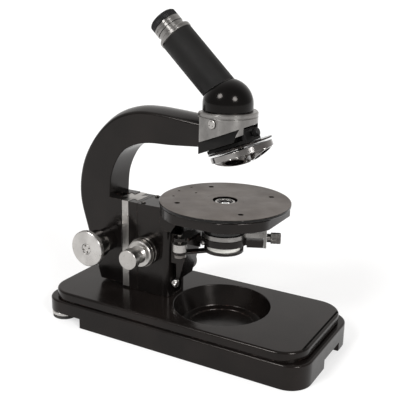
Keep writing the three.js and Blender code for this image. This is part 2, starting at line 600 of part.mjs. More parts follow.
const lens = (radius, z0, z1, bulge) => turned([
  [0, z0], [radius, z0], [radius, z1], [radius * 0.6, z1 + bulge * 0.64], [0, z1 + bulge],
], segments.small);
piece('eye_lens', lens(5.1, 89, 91, 0.7), glass, lean);
piece('field_lens', lens(9.5, 50, 52.5, 1.5), glass, lean);

// ----------------------------------------------------------------------------- stage
function stagePlate() {
  const body = toSolid(rod(stage.radius - 0.7, stage.bottomZ, stage.discZ - gap, segments.large));
  const nearSide = toSolid(box(-70, 70, -70, -stage.flatY, 100, 140));
  const farSide = toSolid(box(-70, 70, stage.flatY, 70, 100, 140));
  const frontSide = toSolid(box(stage.flatX, 70, -70, 70, 100, 140));
  const seat = toSolid(rod(stage.seatRadius, stage.seatZ, 140, segments.medium));
  const opening = toSolid(rod(stage.openingRadius, 100, 140, segments.medium));
  return cut(body, nearSide, farSide, frontSide, seat, opening);
}
piece('stage_plate', stagePlate(), enamel);

function stageDisc() {
  const body = toSolid(turned([
    [stage.aperture, stage.topZ], [stage.aperture, stage.seatZ + 0.4],
    [stage.seatRadius - 0.6, stage.seatZ + 0.4], [stage.seatRadius - 0.6, stage.discZ],
    [stage.radius - 0.5, stage.discZ], [stage.radius, stage.discZ + 0.5],
    [stage.radius, stage.topZ - 0.5], [stage.radius - 0.5, stage.topZ],
  ], segments.large));
  const hole = (radius, x, y, count) => toSolid(
    rod(radius, stage.topZ - clipHole.depth, stage.topZ + 1, count).translate(x, y, 0),
  );
  const clipHoles = [0, 1, 2, 3].map((quarter) => {
    const angle = (quarter + 0.5) * Math.PI / 2;
    return hole(clipHole.radius, clipHole.at * Math.cos(angle), clipHole.at * Math.sin(angle), 12);
  });
  return cut(body, ...clipHoles, ...pegHoles.map(([x, y]) => hole(clipHole.radius / 2, x, y, 8)));
}
piece('stage_disc', stageDisc(), stageBlack);

function stageBracket() {
  const face = outline([[-58.5, 122.9], [-34.5, 122.9], [-34.5, 118.5], [-46, 101.5], [-52, 101.5], [-58.5, 109]]);
  const body = toSolid(sideways(face, 19.4));
  const pillarSpace = toSolid(raised(pillarPlan(gap), 90, 130));
  const pillarTop = toSolid(box(-60, -49, -30, 30, pillar.topZ - 0.1, 130));
  return cut(body, pillarSpace, pillarTop);
}
piece('stage_bracket', stageBracket(), enamel);

// -------------------------------------------------------------------------- substage
function substageSlide() {
  const wedge = toSolid(sideways(outline([
    [-49.2, substage.bottomZ], [-40.5, substage.bottomZ], [-33.1, 80], [-33.1, substage.topZ], [-49.2, substage.topZ],
  ]), substage.halfWidth));
  const tongue = toSolid(raised(dovetailPlan(pillar.front, -dovetail.depth), substage.bottomZ, substage.topZ));
  // Relief that lets the slide pass the screw at the foot of the pillar.
  const reliefTop = footScrew.z + headRadius + substage.travel + gap;
  const relief = toSolid(box(
    pillar.front - 0.1, pillar.front + screwHeight + gap, -substage.halfWidth - 1, footScrew.y + headRadius + 0.4,
    substage.bottomZ - 1, reliefTop,
  ));
  return cut(join(wedge, tongue), relief);
}
piece('substage_slide', substageSlide(), enamel);

function condenserCarrier() {
  const hoop = toSolid(rod(carrier.radius, carrier.z0, carrier.z1, segments.large));
  const bracket = toSolid(box(-32.8, -12, -substage.halfWidth, substage.halfWidth, swing.z1 + 0.6, carrier.z1));
  const ear = toSolid(rod(6.4, 100.6, 103.4, segments.small).translate(swing.x, swing.y, 0));
  const earArm = toSolid(box(swing.x - 4, swing.x + 9, swing.y, -8, 100.6, 103.4));
  const lug = toSolid(box(carrier.bore, 36.2, -5.5, 5.5, 93, 99.8).rotateZ(screwAngle));
  const hole = toSolid(rod(carrier.bore, 60, 130, segments.large));
  const swingRoom = toSolid(rod(swing.radius + 3.5, 80, 94.9, segments.large));
  const pinHole = toSolid(rod(2.4, 90, 110).translate(swing.x, swing.y, 0));
  return cut(join(hoop, bracket, ear, earArm, lug), hole, swingRoom, pinHole);
}
piece('condenser_carrier', condenserCarrier(), enamel);

function clampRing() {
  const hoop = toSolid(ring(carrier.bore, 20.4, carrier.z1 + gap, carrier.z1 + 4.3, segments.large));
  const bar = toSolid(box(19.6, 36.5, -4.5, 4.5, carrier.z1 + gap, 106).rotateZ(screwAngle));
  const cheek = toSolid(box(36.4, 39, -6, 6, 93, 111).rotateZ(screwAngle));
  const clear = toSolid(rod(carrier.bore, 60, 130, segments.large));
  return cut(join(hoop, bar, cheek), clear);
}
piece('condenser_clamp', clampRing(), satinMetal);

const { topRadius, ringInner, seatRadius } = condenser;
piece('condenser_body', turned([
  [12, 99.4], [condenser.radius, 99.4], [condenser.radius, 110.5], [15, 119], [topRadius, 122.5],
  [topRadius, condenser.topZ - 0.5], [topRadius - 0.5, condenser.topZ], [ringInner, condenser.topZ],
  [ringInner, condenser.topZ - 0.9], [seatRadius, condenser.topZ - 1.3], [seatRadius, 129.6], [7, 128.6], [7, 112],
]), satinMetal);
piece('condenser_lens', lens(seatRadius - gap, 130, 132.8, 0.8), glass);

piece('iris_ring', join(
  toSolid(ring(9, 18.3, 95.9, 98.9, segments.medium)),
  toSolid(box(17, 30, -1.2, 1.2, 94.2, 95.2).rotateZ(THREE.MathUtils.degToRad(100))),
  toSolid(box(17, 18.3, -1.2, 1.2, 94.2, 97).rotateZ(THREE.MathUtils.degToRad(100))),
), darkMetal);

const clampScrew = turned([
  [0, 39.3], [4, 39.3], [4, 42.8], [5.2, 42.8], [5.2, 51.4], [4.6, 52], [0, 52],
], segments.small).rotateY(Math.PI / 2).rotateZ(screwAngle).translate(0, 0, 101.2);
piece('condenser_screw', clampScrew, satinMetal);

const setScrewAngle = THREE.MathUtils.degToRad(-123);
const setScrew = turned([[0, 0], [2.4, 0], [2.4, 1.4], [1.8, 1.9], [0, 1.9]], segments.small)
  .rotateY(Math.PI / 2).translate(carrier.radius + gap, 0, 98).rotateZ(setScrewAngle);
piece('carrier_set_screw', setScrew, satinMetal);

// Swing-out filter holder on an upright pin beside the condenser.
const reach = Math.hypot(swing.x, swing.y);
const reachAngle = Math.atan2(-swing.y, -swing.x);
function filterHolder() {
  const hoop = toSolid(rod(swing.radius, swing.z0, swing.z1, segments.large));
  const radial = toSolid(box(0, reach - swing.radius + 2, -4.2, 4.2, swing.z0, swing.z1 - 0.4)
    .rotateZ(reachAngle).translate(swing.x, swing.y, 0));
  const eye = toSolid(rod(6.6, swing.z0, swing.z1 - 0.4).translate(swing.x, swing.y, 0));
  const tab = toSolid(box(swing.radius - 1.8, swing.radius, -3, 3, swing.z0, 94.6).rotateZ(screwAngle));
  const hole = toSolid(rod(swing.glassRadius - 1.4, 80, 100, segments.large));
  const ledge = toSolid(rod(swing.glassRadius + gap, swing.z0 + 0.9, 100, segments.large));
  const pin = toSolid(bore(2.2, 80, 100).translate(swing.x, swing.y, 0));
  return cut(join(hoop, radial, eye, tab), hole, ledge, pin);
}
piece('filter_holder', filterHolder(), enamel);
piece('filter_glass', rod(swing.glassRadius, swing.z0 + 0.9 + gap, carrier.z0 - 0.9, segments.large), opal);
piece('filter_barrel', ring(2.2 + running * 2, 6.6, swing.z1, swing.barrelTop).translate(swing.x, swing.y, 0), satinMetal);
piece('filter_pin', turned([
  [0, 84], [5.4, 84], [5.8, 84.6], [5.8, 87.2], [2.2, 87.2], [2.2, 106], [0, 106],
], segments.small).translate(swing.x, swing.y, 0), darkMetal);

const substageKnob = turned([
  [0, pillar.halfWidth + gap], [4, pillar.halfWidth + gap], [4, 24], [10.5, 24], [11, 24.5], [11, 31.4],
  [10.4, 32], [0, 32],
]).rotateX(-Math.PI / 2).translate(-57, 0, 57);
piece('substage_knob', substageKnob, satinMetal);

export default stand;
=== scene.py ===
import json
import math

import bmesh
import bpy
from mathutils import Matrix, Vector


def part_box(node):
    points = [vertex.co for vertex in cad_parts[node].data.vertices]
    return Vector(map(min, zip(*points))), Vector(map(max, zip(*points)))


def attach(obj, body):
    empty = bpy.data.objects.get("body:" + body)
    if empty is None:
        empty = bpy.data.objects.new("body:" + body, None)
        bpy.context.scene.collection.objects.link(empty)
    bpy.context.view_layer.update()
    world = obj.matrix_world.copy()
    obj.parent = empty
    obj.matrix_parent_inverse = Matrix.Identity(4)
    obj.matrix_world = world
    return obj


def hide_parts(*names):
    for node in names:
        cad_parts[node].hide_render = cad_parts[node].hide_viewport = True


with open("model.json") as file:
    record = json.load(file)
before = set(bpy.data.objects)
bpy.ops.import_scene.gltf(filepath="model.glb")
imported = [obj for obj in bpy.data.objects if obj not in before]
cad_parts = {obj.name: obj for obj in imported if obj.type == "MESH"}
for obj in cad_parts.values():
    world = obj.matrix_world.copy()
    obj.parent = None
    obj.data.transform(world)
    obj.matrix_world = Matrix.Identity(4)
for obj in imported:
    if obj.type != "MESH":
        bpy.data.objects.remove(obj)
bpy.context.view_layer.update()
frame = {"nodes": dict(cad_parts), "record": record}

# Looks of the compound microscope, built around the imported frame. Metres, +Z up.
MM = 0.001

# The optical axis is the axis of the round stage.
stage_low, stage_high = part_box("stage_disc")
OPTIC_X = (stage_low.x + stage_high.x) / 2
JOINTS = {joint["name"]: joint for joint in frame["record"]["behaviour"]["joints"]}
UP = Vector((0, 0, 1))
NEAR = Vector((0, -1, 0))
FAR = Vector((0, 1, 0))
TUBE_AXIS = Vector(JOINTS["eyepiece_draw"]["axis"])
TURRET_AXIS = Vector(JOINTS["turret_turn"]["axis"])
NOSE_AXIS = Vector(JOINTS["nose_draw"]["axis"])
CLAMP_AXIS = Vector(JOINTS["condenser_screw_turn"]["axis"])

ON_AXIS = Matrix.Translation((OPTIC_X, 0, 0))
WELD = 5e-6             # points closer than this are one point, in metres
TINY = 1e-6             # a length that counts as nothing, in metres
SMOOTH_ANGLE = math.radians(32)
BEVEL_ANGLE = math.radians(38)
COPLANAR_ANGLE = math.radians(0.4)
ROUND_COUNT = 96        # faces round a turned piece


# ------------------------------------------------------------------------ materials
# Lengths are in metres, the scale of a noise is in cells per metre, and coordinates are in the piece's own
# frame.
EDGE_FROM, EDGE_FULL = 0.985, 0.90      # agreement of a rounded normal with the true one: no wear, full wear
RING_INNER = (0.00735, 0.00750)         # radii over which the condenser's bright ring fades in
RING_OUTER = (0.00925, 0.00915)         # and out
STAGE_FACE = (0.13572, 0.13588)         # heights over which the stage turns from black side to rubbed top
ANISOTROPY = 0.75
ACROSS_MARKS = 0.25                     # in turns: highlights stretch across the turning marks


class Shader:
    """A Principled material with a few helpers for adding nodes to it."""

    def __init__(self, name, color, roughness, metallic=0.0, specular=0.5):
        self.material = bpy.data.materials.new(name)
        self.material.use_nodes = True
        self.nodes = self.material.node_tree.nodes
        self.links = self.material.node_tree.links
        self.bsdf = self.nodes["Principled BSDF"]
        self.set("Base Color", (*color, 1))
        self.set("Roughness", roughness)
        self.set("Metallic", metallic)
        self.set("Specular IOR Level", specular)
        self.coordinates = self.nodes.new("ShaderNodeTexCoord").outputs["Object"]
        self.height = None

    def set(self, socket, value):
        self.bsdf.inputs[socket].default_value = value

    def join(self, value, socket):
        """Links another node's output to the socket, or sets a plain value on it."""
        if isinstance(value, bpy.types.NodeSocket):
            self.links.new(value, socket)
        else:
            socket.default_value = value

    def node(self, kind, inputs=(), **settings):
        made = self.nodes.new(kind)
        for key, value in settings.items():
            setattr(made, key, value)
        for socket, value in dict(inputs).items():
            self.join(value, made.inputs[socket])
        return made

    def noise(self, scale, detail=3.0, roughness=0.55, vector=None):
        made = self.node(
            "ShaderNodeTexNoise",
            {
                "Vector": vector or self.coordinates, "Scale": scale,
                "Detail": detail, "Roughness": roughness,
            },
        )
        return made.outputs["Fac"]

    def remap(self, value, from_low, from_high, to_low=0.0, to_high=1.0):
        made = self.node(
            "ShaderNodeMapRange",
            {
                "Value": value, "From Min": from_low, "From Max": from_high,
                "To Min": to_low, "To Max": to_high,
            },
        )
        return made.outputs["Result"]

    def math(self, operation, *values):
        made = self.node("ShaderNodeMath", operation=operation)
        for index, value in enumerate(values):
            self.join(value, made.inputs[index])
        return made.outputs["Value"]

    def mix(self, factor, first, second):
        """A blend of two colours, each a socket or a plain (red, green, blue)."""
        made = self.node("ShaderNodeMix", data_type="RGBA")
        self.links.new(factor, made.inputs["Factor"])
        for socket, value in (("A", first), ("B", second)):
            self.join((*value, 1) if isinstance(value, tuple) else value, made.inputs[socket])
        return made.outputs["Result"]

    def cylindrical(self):
        """The distance from the object's own Z axis, and the height along it."""
        x, y, z = self.node("ShaderNodeSeparateXYZ", {"Vector": self.coordinates}).outputs
        squares = self.math("ADD", self.math("POWER", x, 2.0), self.math("POWER", y, 2.0))
        return self.math("SQRT", squares), z

    def edges(self, radius):
        """1 on sharp edges, fading to 0 over the radius."""
        bevel = self.node("ShaderNodeBevel", {"Radius": radius}, samples=4)
        normal = self.node("ShaderNodeNewGeometry").outputs["Normal"]
        dot = self.node("ShaderNodeVectorMath", operation="DOT_PRODUCT")
        self.links.new(bevel.outputs["Normal"], dot.inputs[0])
        self.links.new(normal, dot.inputs[1])
        return self.remap(dot.outputs["Value"], EDGE_FROM, EDGE_FULL)

    def wear(self, radius, patches, low, high):
        """Worn edges of the given radius, left only where the patches noise rises from low to high."""
        return self.math("MULTIPLY", self.edges(radius), self.remap(patches, low, high))

    def feed(self, socket, output):
        self.links.new(output, self.bsdf.inputs[socket])

    def bump(self, height, distance, strength=1.0):
        made = self.node("ShaderNodeBump", {"Height": height, "Distance": distance, "Strength": strength})
        if self.height is not None:
            self.links.new(self.height, made.inputs["Normal"])
        self.height = made.outputs["Normal"]
        self.feed("Normal", self.height)


# The foot's end line, in metres from the optical axis: a dead-black band over a shallow cut in the top face,
# a painted dark reflection of the rounded end edge. The top face is painted lighter and browner than the
# sides.
FOOT_LINE = {"start": 0.0984, "end": 0.1005, "reach": 0.0435, "top": 0.0329, "depth": 0.002}
# Above this height the foot's top face is painted lighter and browner than its sides.
LIGHTER_TOP_FROM = FOOT_LINE["top"] - 0.0003


def enamel(name, dark, light, specular, roughness, foot=False):
    """Black stoving enamel: soft orange peel, haze, and bare grey-brown wear on edges. The foot also has a
    top face painted lighter and browner than its sides, and a dead-black line in it, a painted dark
    reflection of the rounded end edge."""
    s = Shader(name, dark, sum(roughness) / 2, specular=specular)
    s.set("Specular Tint", (1.0, 0.93, 0.89, 1))
    base = s.mix(s.remap(s.noise(26, 4), 0.38, 0.68), dark, light)
    chips = s.wear(0.0007, s.noise(310, 5, 0.7), 0.50, 0.62)
    rust = s.mix(s.remap(s.noise(60, 2), 0.45, 0.6), (0.16, 0.135, 0.12), (0.13, 0.055, 0.04))
    painted = s.mix(s.math("MULTIPLY", chips, 0.65), base, rust)
    smudge = s.remap(s.noise(55, 5, 0.6), 0.35, 0.7, *roughness)
    rough = s.math("ADD", smudge, s.math("MULTIPLY", chips, 0.3))
    if foot:
        x, y, z = s.node("ShaderNodeSeparateXYZ", {"Vector": s.coordinates}).outputs
        # The top face is painted lighter and browner than the sides, in cloudy patches.
        clouds = s.remap(s.noise(34, 4), 0.36, 0.68)
        lighter_top = s.mix(clouds, (0.0056, 0.0044, 0.0040), (0.0100, 0.0078, 0.0070))
        painted = s.mix(s.math("GREATER_THAN", z, LIGHTER_TOP_FROM), painted, lighter_top)
        # A dead-black band over the cut by the foot's end, a painted dark reflection of the rounded end edge.
        painted_dark_reflection = s.math("GREATER_THAN", x, FOOT_LINE["start"])
        for inside in (
            s.math("LESS_THAN", x, FOOT_LINE["end"]),
            s.math("LESS_THAN", s.math("ABSOLUTE", y), FOOT_LINE["reach"]),
            s.math("LESS_THAN", z, FOOT_LINE["top"]),
            s.math("GREATER_THAN", z, FOOT_LINE["top"] - FOOT_LINE["depth"]),
        ):
            painted_dark_reflection = s.math("MULTIPLY", painted_dark_reflection, inside)
        painted = s.mix(painted_dark_reflection, painted, (0.0005, 0.0005, 0.0005))
        rough = s.math("MAXIMUM", rough, painted_dark_reflection)
    s.feed("Base Color", painted)
    s.feed("Roughness", rough)
    s.bump(s.noise(900, 2), 0.00002, 0.35)
    s.bump(s.noise(140, 2), 0.00006, 0.25)
    return s.material


def matt_enamel():
    """Matt black lacquer of the body tube, with faint rubbed streaks and worn edges."""
    s = Shader("matt_black_enamel", (0.007, 0.0066, 0.0063), 0.55, specular=0.18)
    base = s.mix(s.remap(s.noise(40, 4), 0.36, 0.68), (0.005, 0.0047, 0.0045), (0.009, 0.0083, 0.0078))
    worn = s.wear(0.0005, s.noise(320, 5, 0.7), 0.46, 0.6)
    s.feed("Base Color", s.mix(s.math("MULTIPLY", worn, 0.6), base, (0.14, 0.125, 0.115)))
    s.feed("Roughness", s.remap(s.noise(70, 4), 0.35, 0.7, 0.46, 0.62))
    s.bump(s.noise(1200, 3), 0.00002, 0.4)
    return s.material


def stage_lacquer():
    """Black lacquer: the top face rubbed grey, with short scratches, and the sides and holes still black."""
    s = Shader("satin_stage_lacquer", (0.085, 0.076, 0.069), 0.42, specular=0.2)
    split = s.node("ShaderNodeSeparateXYZ", {"Vector": s.coordinates})
    top = s.remap(split.outputs["Z"], *STAGE_FACE)
    rubbed = s.remap(s.noise(34, 5, 0.6), 0.36, 0.66)
    grey = s.mix(rubbed, (0.090, 0.077, 0.069), (0.130, 0.114, 0.102))
    base = s.mix(top, (0.003, 0.0027, 0.0025), grey)
    worn = s.wear(0.0006, s.noise(260, 4, 0.7), 0.42, 0.58)
    s.feed("Base Color", s.mix(s.math("MULTIPLY", worn, 0.5), base, (0.26, 0.24, 0.22)))
    rubbing = s.math("MULTIPLY", top, s.remap(s.noise(48, 4), 0.35, 0.68, 0.14, 0.3))
    s.feed("Roughness", s.math("ADD", rubbing, 0.2))
    stretched = s.node("ShaderNodeMapping", {"Vector": s.coordinates, "Scale": (1, 14, 1)})
    s.bump(s.noise(260, 4, 0.75, stretched.outputs["Vector"]), 0.00002, 0.3)
    s.bump(s.noise(1500, 2), 0.00001, 0.3)
    return s.material


def metal(name, dark, light, roughness, grain, specks):
    """Plated metal: turning marks round the piece's own axis, cloudy tarnish and brighter rubbed edges."""
    s = Shader(name, light, sum(roughness) / 2, metallic=1.0)
    clouds = s.remap(s.noise(42, 4, 0.6), 0.34, 0.68)
    tone = s.mix(clouds, dark, light)
    spots = s.remap(s.noise(520, 4, 0.7), 0.60, 0.68)
    tone = s.mix(s.math("MULTIPLY", spots, specks), tone, tuple(0.35 * c for c in dark))
    rubbed = tuple(min(1.0, 1.25 * c) for c in light)
    s.feed("Base Color", s.mix(s.math("MULTIPLY", s.edges(0.0005), 0.6), tone, rubbed))
    s.feed("Roughness", s.remap(s.noise(95, 5, 0.6), 0.33, 0.7, *roughness))
    if grain:
        radius, z = s.cylindrical()
        rings = s.node("ShaderNodeCombineXYZ", {"X": radius, "Y": z}).outputs["Vector"]
        s.bump(s.noise(3200, 2, 0.5, rings), 0.000012, grain)
        s.set("Anisotropic", ANISOTROPY)
        s.set("Anisotropic Rotation", ACROSS_MARKS)
        tangent = s.node("ShaderNodeTangent", direction_type="RADIAL", axis="Z")
        s.feed("Tangent", tangent.outputs["Tangent"])
    else:
        s.bump(s.noise(1300, 3), 0.000008, 0.3)
    return s.material


def condenser_finish():
    """Black lacquered mount with a bare bright ring round its top lens."""
    s = Shader("condenser_finish", (0.01, 0.0095, 0.009), 0.3, specular=0.4)
    radius, _ = s.cylindrical()
    ring = s.math("MULTIPLY", s.remap(radius, *RING_INNER), s.remap(radius, *RING_OUTER))
    worn = s.wear(0.0005, s.noise(400, 4), 0.45, 0.6)
    black = s.mix(s.math("MULTIPLY", worn, 0.7), (0.008, 0.0075, 0.007), (0.15, 0.14, 0.13))
    silver = s.mix(s.remap(s.noise(150, 4), 0.38, 0.66), (0.42, 0.40, 0.385), (0.62, 0.61, 0.59))
    s.feed("Base Color", s.mix(ring, black, silver))
    s.feed("Metallic", ring)
    s.feed("Roughness", s.remap(s.noise(120, 4), 0.35, 0.7, 0.22, 0.36))
    s.bump(s.noise(1300, 3), 0.000008, 0.3)
    return s.material


def plastic():
    """Moulded black plastic, greyer on its worn ribs."""
    s = Shader("black_moulding", (0.006, 0.006, 0.0062), 0.42, specular=0.2)
    worn = s.wear(0.0004, s.noise(400, 4), 0.42, 0.6)
    s.feed("Base Color", s.mix(worn, (0.005, 0.005, 0.0052), (0.045, 0.043, 0.041)))
    s.feed("Roughness", s.remap(s.noise(120, 4), 0.35, 0.7, 0.33, 0.52))
    s.bump(s.noise(1400, 3), 0.00002, 0.3)
    return s.material


def clear_glass():
    """Optical glass with a little haze."""
    s = Shader("optical_glass", (0.93, 0.96, 0.97), 0.03)
    s.set("Transmission Weight", 1.0)
    s.set("IOR", 1.52)
    s.feed("Roughness", s.remap(s.noise(160, 4), 0.4, 0.75, 0.02, 0.09))
    s.bump(s.noise(70, 2), 0.00002, 0.1)
    return s.material


def opal_glass():
    """Milky glass, slightly uneven in tone."""
    s = Shader("opal_glass", (0.93, 0.915, 0.86), 0.28)
    clouds = s.remap(s.noise(80, 4), 0.35, 0.7)
    s.feed("Base Color", s.mix(clouds, (0.88, 0.86, 0.80), (0.95, 0.94, 0.89)))
    s.feed("Roughness", s.remap(s.noise(200, 3), 0.4, 0.7, 0.2, 0.34))
    s.bump(s.noise(600, 2), 0.00001, 0.2)
    return s.material


def rubber():
    """Dusty black rubber."""
    s = Shader("rubber_pad", (0.03, 0.029, 0.028), 0.85, specular=0.3)
    dust = s.remap(s.noise(150, 4), 0.4, 0.65)
    s.feed("Base Color", s.mix(dust, (0.024, 0.023, 0.022), (0.05, 0.047, 0.044)))
    s.bump(s.noise(900, 4), 0.00005, 0.5)
    return s.material


# An enamel takes its dark and light colour, specular level and roughness range. A metal takes its dark and
# light colour, roughness range, and the strengths of its turning marks and its specks.
ENAMEL = enamel("glossy_black_enamel", (0.0030, 0.0026, 0.0025), (0.0062, 0.0050, 0.0046), 0.25, (0.13, 0.25))
# The dome's enamel is a darker, less reflective copy of the enamel: painted shade.
DOME = enamel("dome_black_enamel", (0.0016, 0.0015, 0.0015), (0.0026, 0.0024, 0.0023), 0.16, (0.13, 0.17))
FOOT = enamel(
    "foot_black_enamel", (0.0036, 0.0030, 0.0028), (0.0075, 0.0058, 0.0052), 0.2, (0.14, 0.26), foot=True,
)
STAGE = stage_lacquer()
MATT = matt_enamel()
SATIN, LIT_SATIN, SHADED_SATIN, DEEP_SHADED_SATIN, DARK, CHROME = (metal(*settings) for settings in (
    ("satin_nickel", (0.36, 0.345, 0.33), (0.50, 0.485, 0.465), (0.27, 0.42), 0.0, 0.5),
    # A lighter copy of the nickel: painted light.
    ("turned_nickel_painted_light", (0.42, 0.405, 0.39), (0.57, 0.555, 0.535), (0.24, 0.38), 0.5, 0.35),
    # Two darker copies of the nickel: painted shade.
    ("turned_nickel_painted_shade", (0.19, 0.183, 0.175), (0.30, 0.29, 0.28), (0.26, 0.38), 0.5, 0.35),
    ("turned_nickel_painted_deep_shade", (0.12, 0.113, 0.107), (0.21, 0.20, 0.19), (0.28, 0.42), 0.5, 0.4),
    ("darkened_steel", (0.10, 0.092, 0.085), (0.20, 0.187, 0.175), (0.16, 0.3), 0.4, 0.3),
    # The chrome is much darker than bright chrome: painted shade for the dark surroundings it reflects.
    ("polished_chrome", (0.17, 0.16, 0.155), (0.30, 0.29, 0.28), (0.10, 0.2), 0.12, 0.3),
))
CONDENSER = condenser_finish()
PLASTIC = plastic()
GLASS = clear_glass()
OPAL = opal_glass()
RUBBER = rubber()


# -------------------------------------------------------------------- mesh building
STRAIGHT = math.radians(165)            # a corner flatter than this is left as it is
CORNER_SHARE = 0.42                     # how much of a side one rounded corner may take up
KNURL_ROW = 0.45                        # height of a row of crossed knurling, in mm
KNURL_RIM = 0.82                        # knurling lies outside this share of the radius
MERIDIAN_WIDTH = 0.01                   # in radians
AXIS_REACH = 2e-5                       # points this close to the axis are on it, in metres


def object_from(bm, name, material, place=None):
    """A shaded object from a bmesh, which is freed. place is its own frame in the row's frame."""
    bmesh.ops.recalc_face_normals(bm, faces=bm.faces)
    mesh = bpy.data.meshes.new(name)
    bm.to_mesh(mesh)
    bm.free()
    mesh.materials.append(material)
    mesh.shade_smooth()
    mesh.set_sharp_from_angle(angle=SMOOTH_ANGLE)
    made = bpy.data.objects.new(name, mesh)
    bpy.context.scene.collection.objects.link(made)
    if place is not None:
        made.matrix_world = place
    return made


def finish_edges(made, width):
    """Rounds the sharp edges to a width in mm, and keeps the flat faces flat under smooth shading."""
    if width:
        bevel = made.modifiers.new("rounded_edges", "BEVEL")
        bevel.width = width * MM
        bevel.segments = 2
        bevel.limit_method = "ANGLE"
        bevel.angle_limit = BEVEL_ANGLE
        bevel.miter_outer = "MITER_ARC"
    normals = made.modifiers.new("flat_faces", "WEIGHTED_NORMAL")
    normals.keep_sharp = True
    normals.weight = 80


def apply_modifiers(made):
    bpy.context.view_layer.update()
    evaluated = made.evaluated_get(bpy.context.evaluated_depsgraph_get())
    mesh = bpy.data.meshes.new_from_object(evaluated)
    made.modifiers.clear()
    old, made.data = made.data, mesh
    bpy.data.meshes.remove(old)


def carve(made, cutters, operation="DIFFERENCE"):
    """Cuts each cutter object out of the piece, or adds it, and removes the cutters."""
    for cutter in cutters:
        boolean = made.modifiers.new("carve", "BOOLEAN")
        boolean.object = cutter
        boolean.operation = operation
        boolean.solver = "EXACT"
    apply_modifiers(made)
    for cutter in cutters:
        bpy.data.meshes.remove(cutter.data)
    made.data.shade_smooth()
    made.data.set_sharp_from_angle(angle=SMOOTH_ANGLE)


def own(made, node):
    """The piece stands for a CAD node and moves with the node's body."""
    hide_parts(node)
    for body, nodes in frame["record"]["behaviour"]["bodies"].items():
        if node in nodes:
            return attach(made, body)
    raise ValueError(f"no body holds {node}")


def welded(node):
    """A CAD node's mesh with its split corners joined."""
    bm = bmesh.new()
    bm.from_mesh(frame["nodes"][node].data)
    bmesh.ops.remove_doubles(bm, verts=bm.verts, dist=WELD)
    return bm


def axis_frame(node, direction):
    """A frame centred on the node's points, with Z along the direction."""
    bm = welded(node)
    z = Vector(direction).normalized()
    x = (NEAR - NEAR.dot(z) * z) if abs(NEAR.dot(z)) < 0.9 else (UP - UP.dot(z) * z)
    x.normalize()
    centre = sum((v.co for v in bm.verts), Vector()) / len(bm.verts)
    place = Matrix((x, z.cross(x), z)).transposed().to_4x4()
    place.translation = centre
    bm.transform(place.inverted())
    return bm, place


def read_profile(node, direction):
    """The (radius, height) outline of a turned CAD node in its own frame, read off one of its meridians."""
    bm, place = axis_frame(node, direction)
    furthest = max(bm.verts, key=lambda v: v.co.xy.length)
    first_angle = math.atan2(furthest.co.y, furthest.co.x)

    def on_meridian(vert):
        if vert.co.xy.length < AXIS_REACH:
            return True
        turn = math.atan2(vert.co.y, vert.co.x) - first_angle
        return abs((turn + math.pi) % (2 * math.pi) - math.pi) < MERIDIAN_WIDTH

    chosen = {v for v in bm.verts if on_meridian(v)}
    beside = {v: [e.other_vert(v) for e in v.link_edges if e.other_vert(v) in chosen] for v in chosen}
    ends = sorted((v for v in chosen if len(beside[v]) == 1), key=lambda v: v.co.z)
    here = ends[0] if ends else min(chosen, key=lambda v: (v.co.z, v.co.xy.length))
    path, before = [here], None
    while True:
        onward = [v for v in beside[here] if v is not before and v not in path]
        if not onward:
            break
        before, here = here, onward[0]
        path.append(here)
    outline = [(v.co.xy.length, v.co.z) for v in path]
    closed = not ends
    if closed and signed_area(outline) < 0:
        outline.reverse()
    bm.free()
    return outline, closed, place


def signed_area(points):
    """Twice the area inside a closed outline, positive where it runs anticlockwise."""
    pairs = zip(points, points[1:] + points[:1])
    return sum(a[0] * b[1] - b[0] * a[1] for a, b in pairs)


def soften(outline, closed, radius, steps=3):
    """The outline with its corners rounded to a radius in mm."""
    count = len(outline)
    made = []
    for i, point in enumerate(outline):
        if not closed and i in (0, count - 1):
            made.append(point)
            continue
        here = Vector(point)
        back = Vector(outline[i - 1]) - here
        ahead = Vector(outline[(i + 1) % count]) - here
        if back.length < 1e-7 or ahead.length < 1e-7:
            continue
        angle = back.angle(ahead)
        if angle > STRAIGHT or here.x < TINY:
            made.append(point)
            continue
        longest = CORNER_SHARE * back.length, CORNER_SHARE * ahead.length
        reach = min(radius * MM / math.tan(angle / 2), *longest)
        start, end = here + back.normalized() * reach, here + ahead.normalized() * reach
        for k in range(steps + 1):
            t = k / steps
            bend = (1 - t) ** 2 * start + 2 * t * (1 - t) * here + t ** 2 * end
            made.append((bend.x, bend.y))
    return made


def densify(outline, closed, bands):
    """Adds points so that each knurled band has its own rows."""
    made = []
    count = len(outline)
    last = count if closed else count - 1
    for i in range(last):
        a, b = Vector(outline[i]), Vector(outline[(i + 1) % count])
        made.append((a.x, a.y))
        marks = sorted(
            (z - a.y) / (b.y - a.y)
            for low, high, rows in bands
            for z in [low + (high - low) * k / rows for k in range(rows + 1)]
            if abs(b.y - a.y) > TINY and 1e-3 < (z - a.y) / (b.y - a.y) < 1 - 1e-3
        )
        made.extend(tuple(a.lerp(b, t)) for t in marks)
    if not closed:
        made.append(outline[-1])
    return made


def lathe(outline, closed, count=ROUND_COUNT, radius_at=None):
    """A closed body of revolution about Z. radius_at(radius, height, angle) may alter the radius."""
    bm = bmesh.new()
    rings = []
    for r, z in outline:
        if r < TINY:
            rings.append([bm.verts.new((0, 0, z))])
            continue
        ring = []
        for k in range(count):
            angle = 2 * math.pi * k / count
            out = radius_at(r, z, angle) if radius_at else r
            ring.append(bm.verts.new((out * math.cos(angle), out * math.sin(angle), z)))
        rings.append(ring)
    pairs = list(zip(rings, rings[1:])) + ([(rings[-1], rings[0])] if closed else [])
    for low, high in pairs:
        if len(low) == 1 and len(high) == 1:
            continue
        for k in range(count):
            n = (k + 1) % count
            if len(low) == 1:
                bm.faces.new((low[0], high[n], high[k]))
            elif len(high) == 1:
                bm.faces.new((low[k], low[n], high[0]))
            else:
                bm.faces.new((low[k], low[n], high[n], high[k]))
    return bm


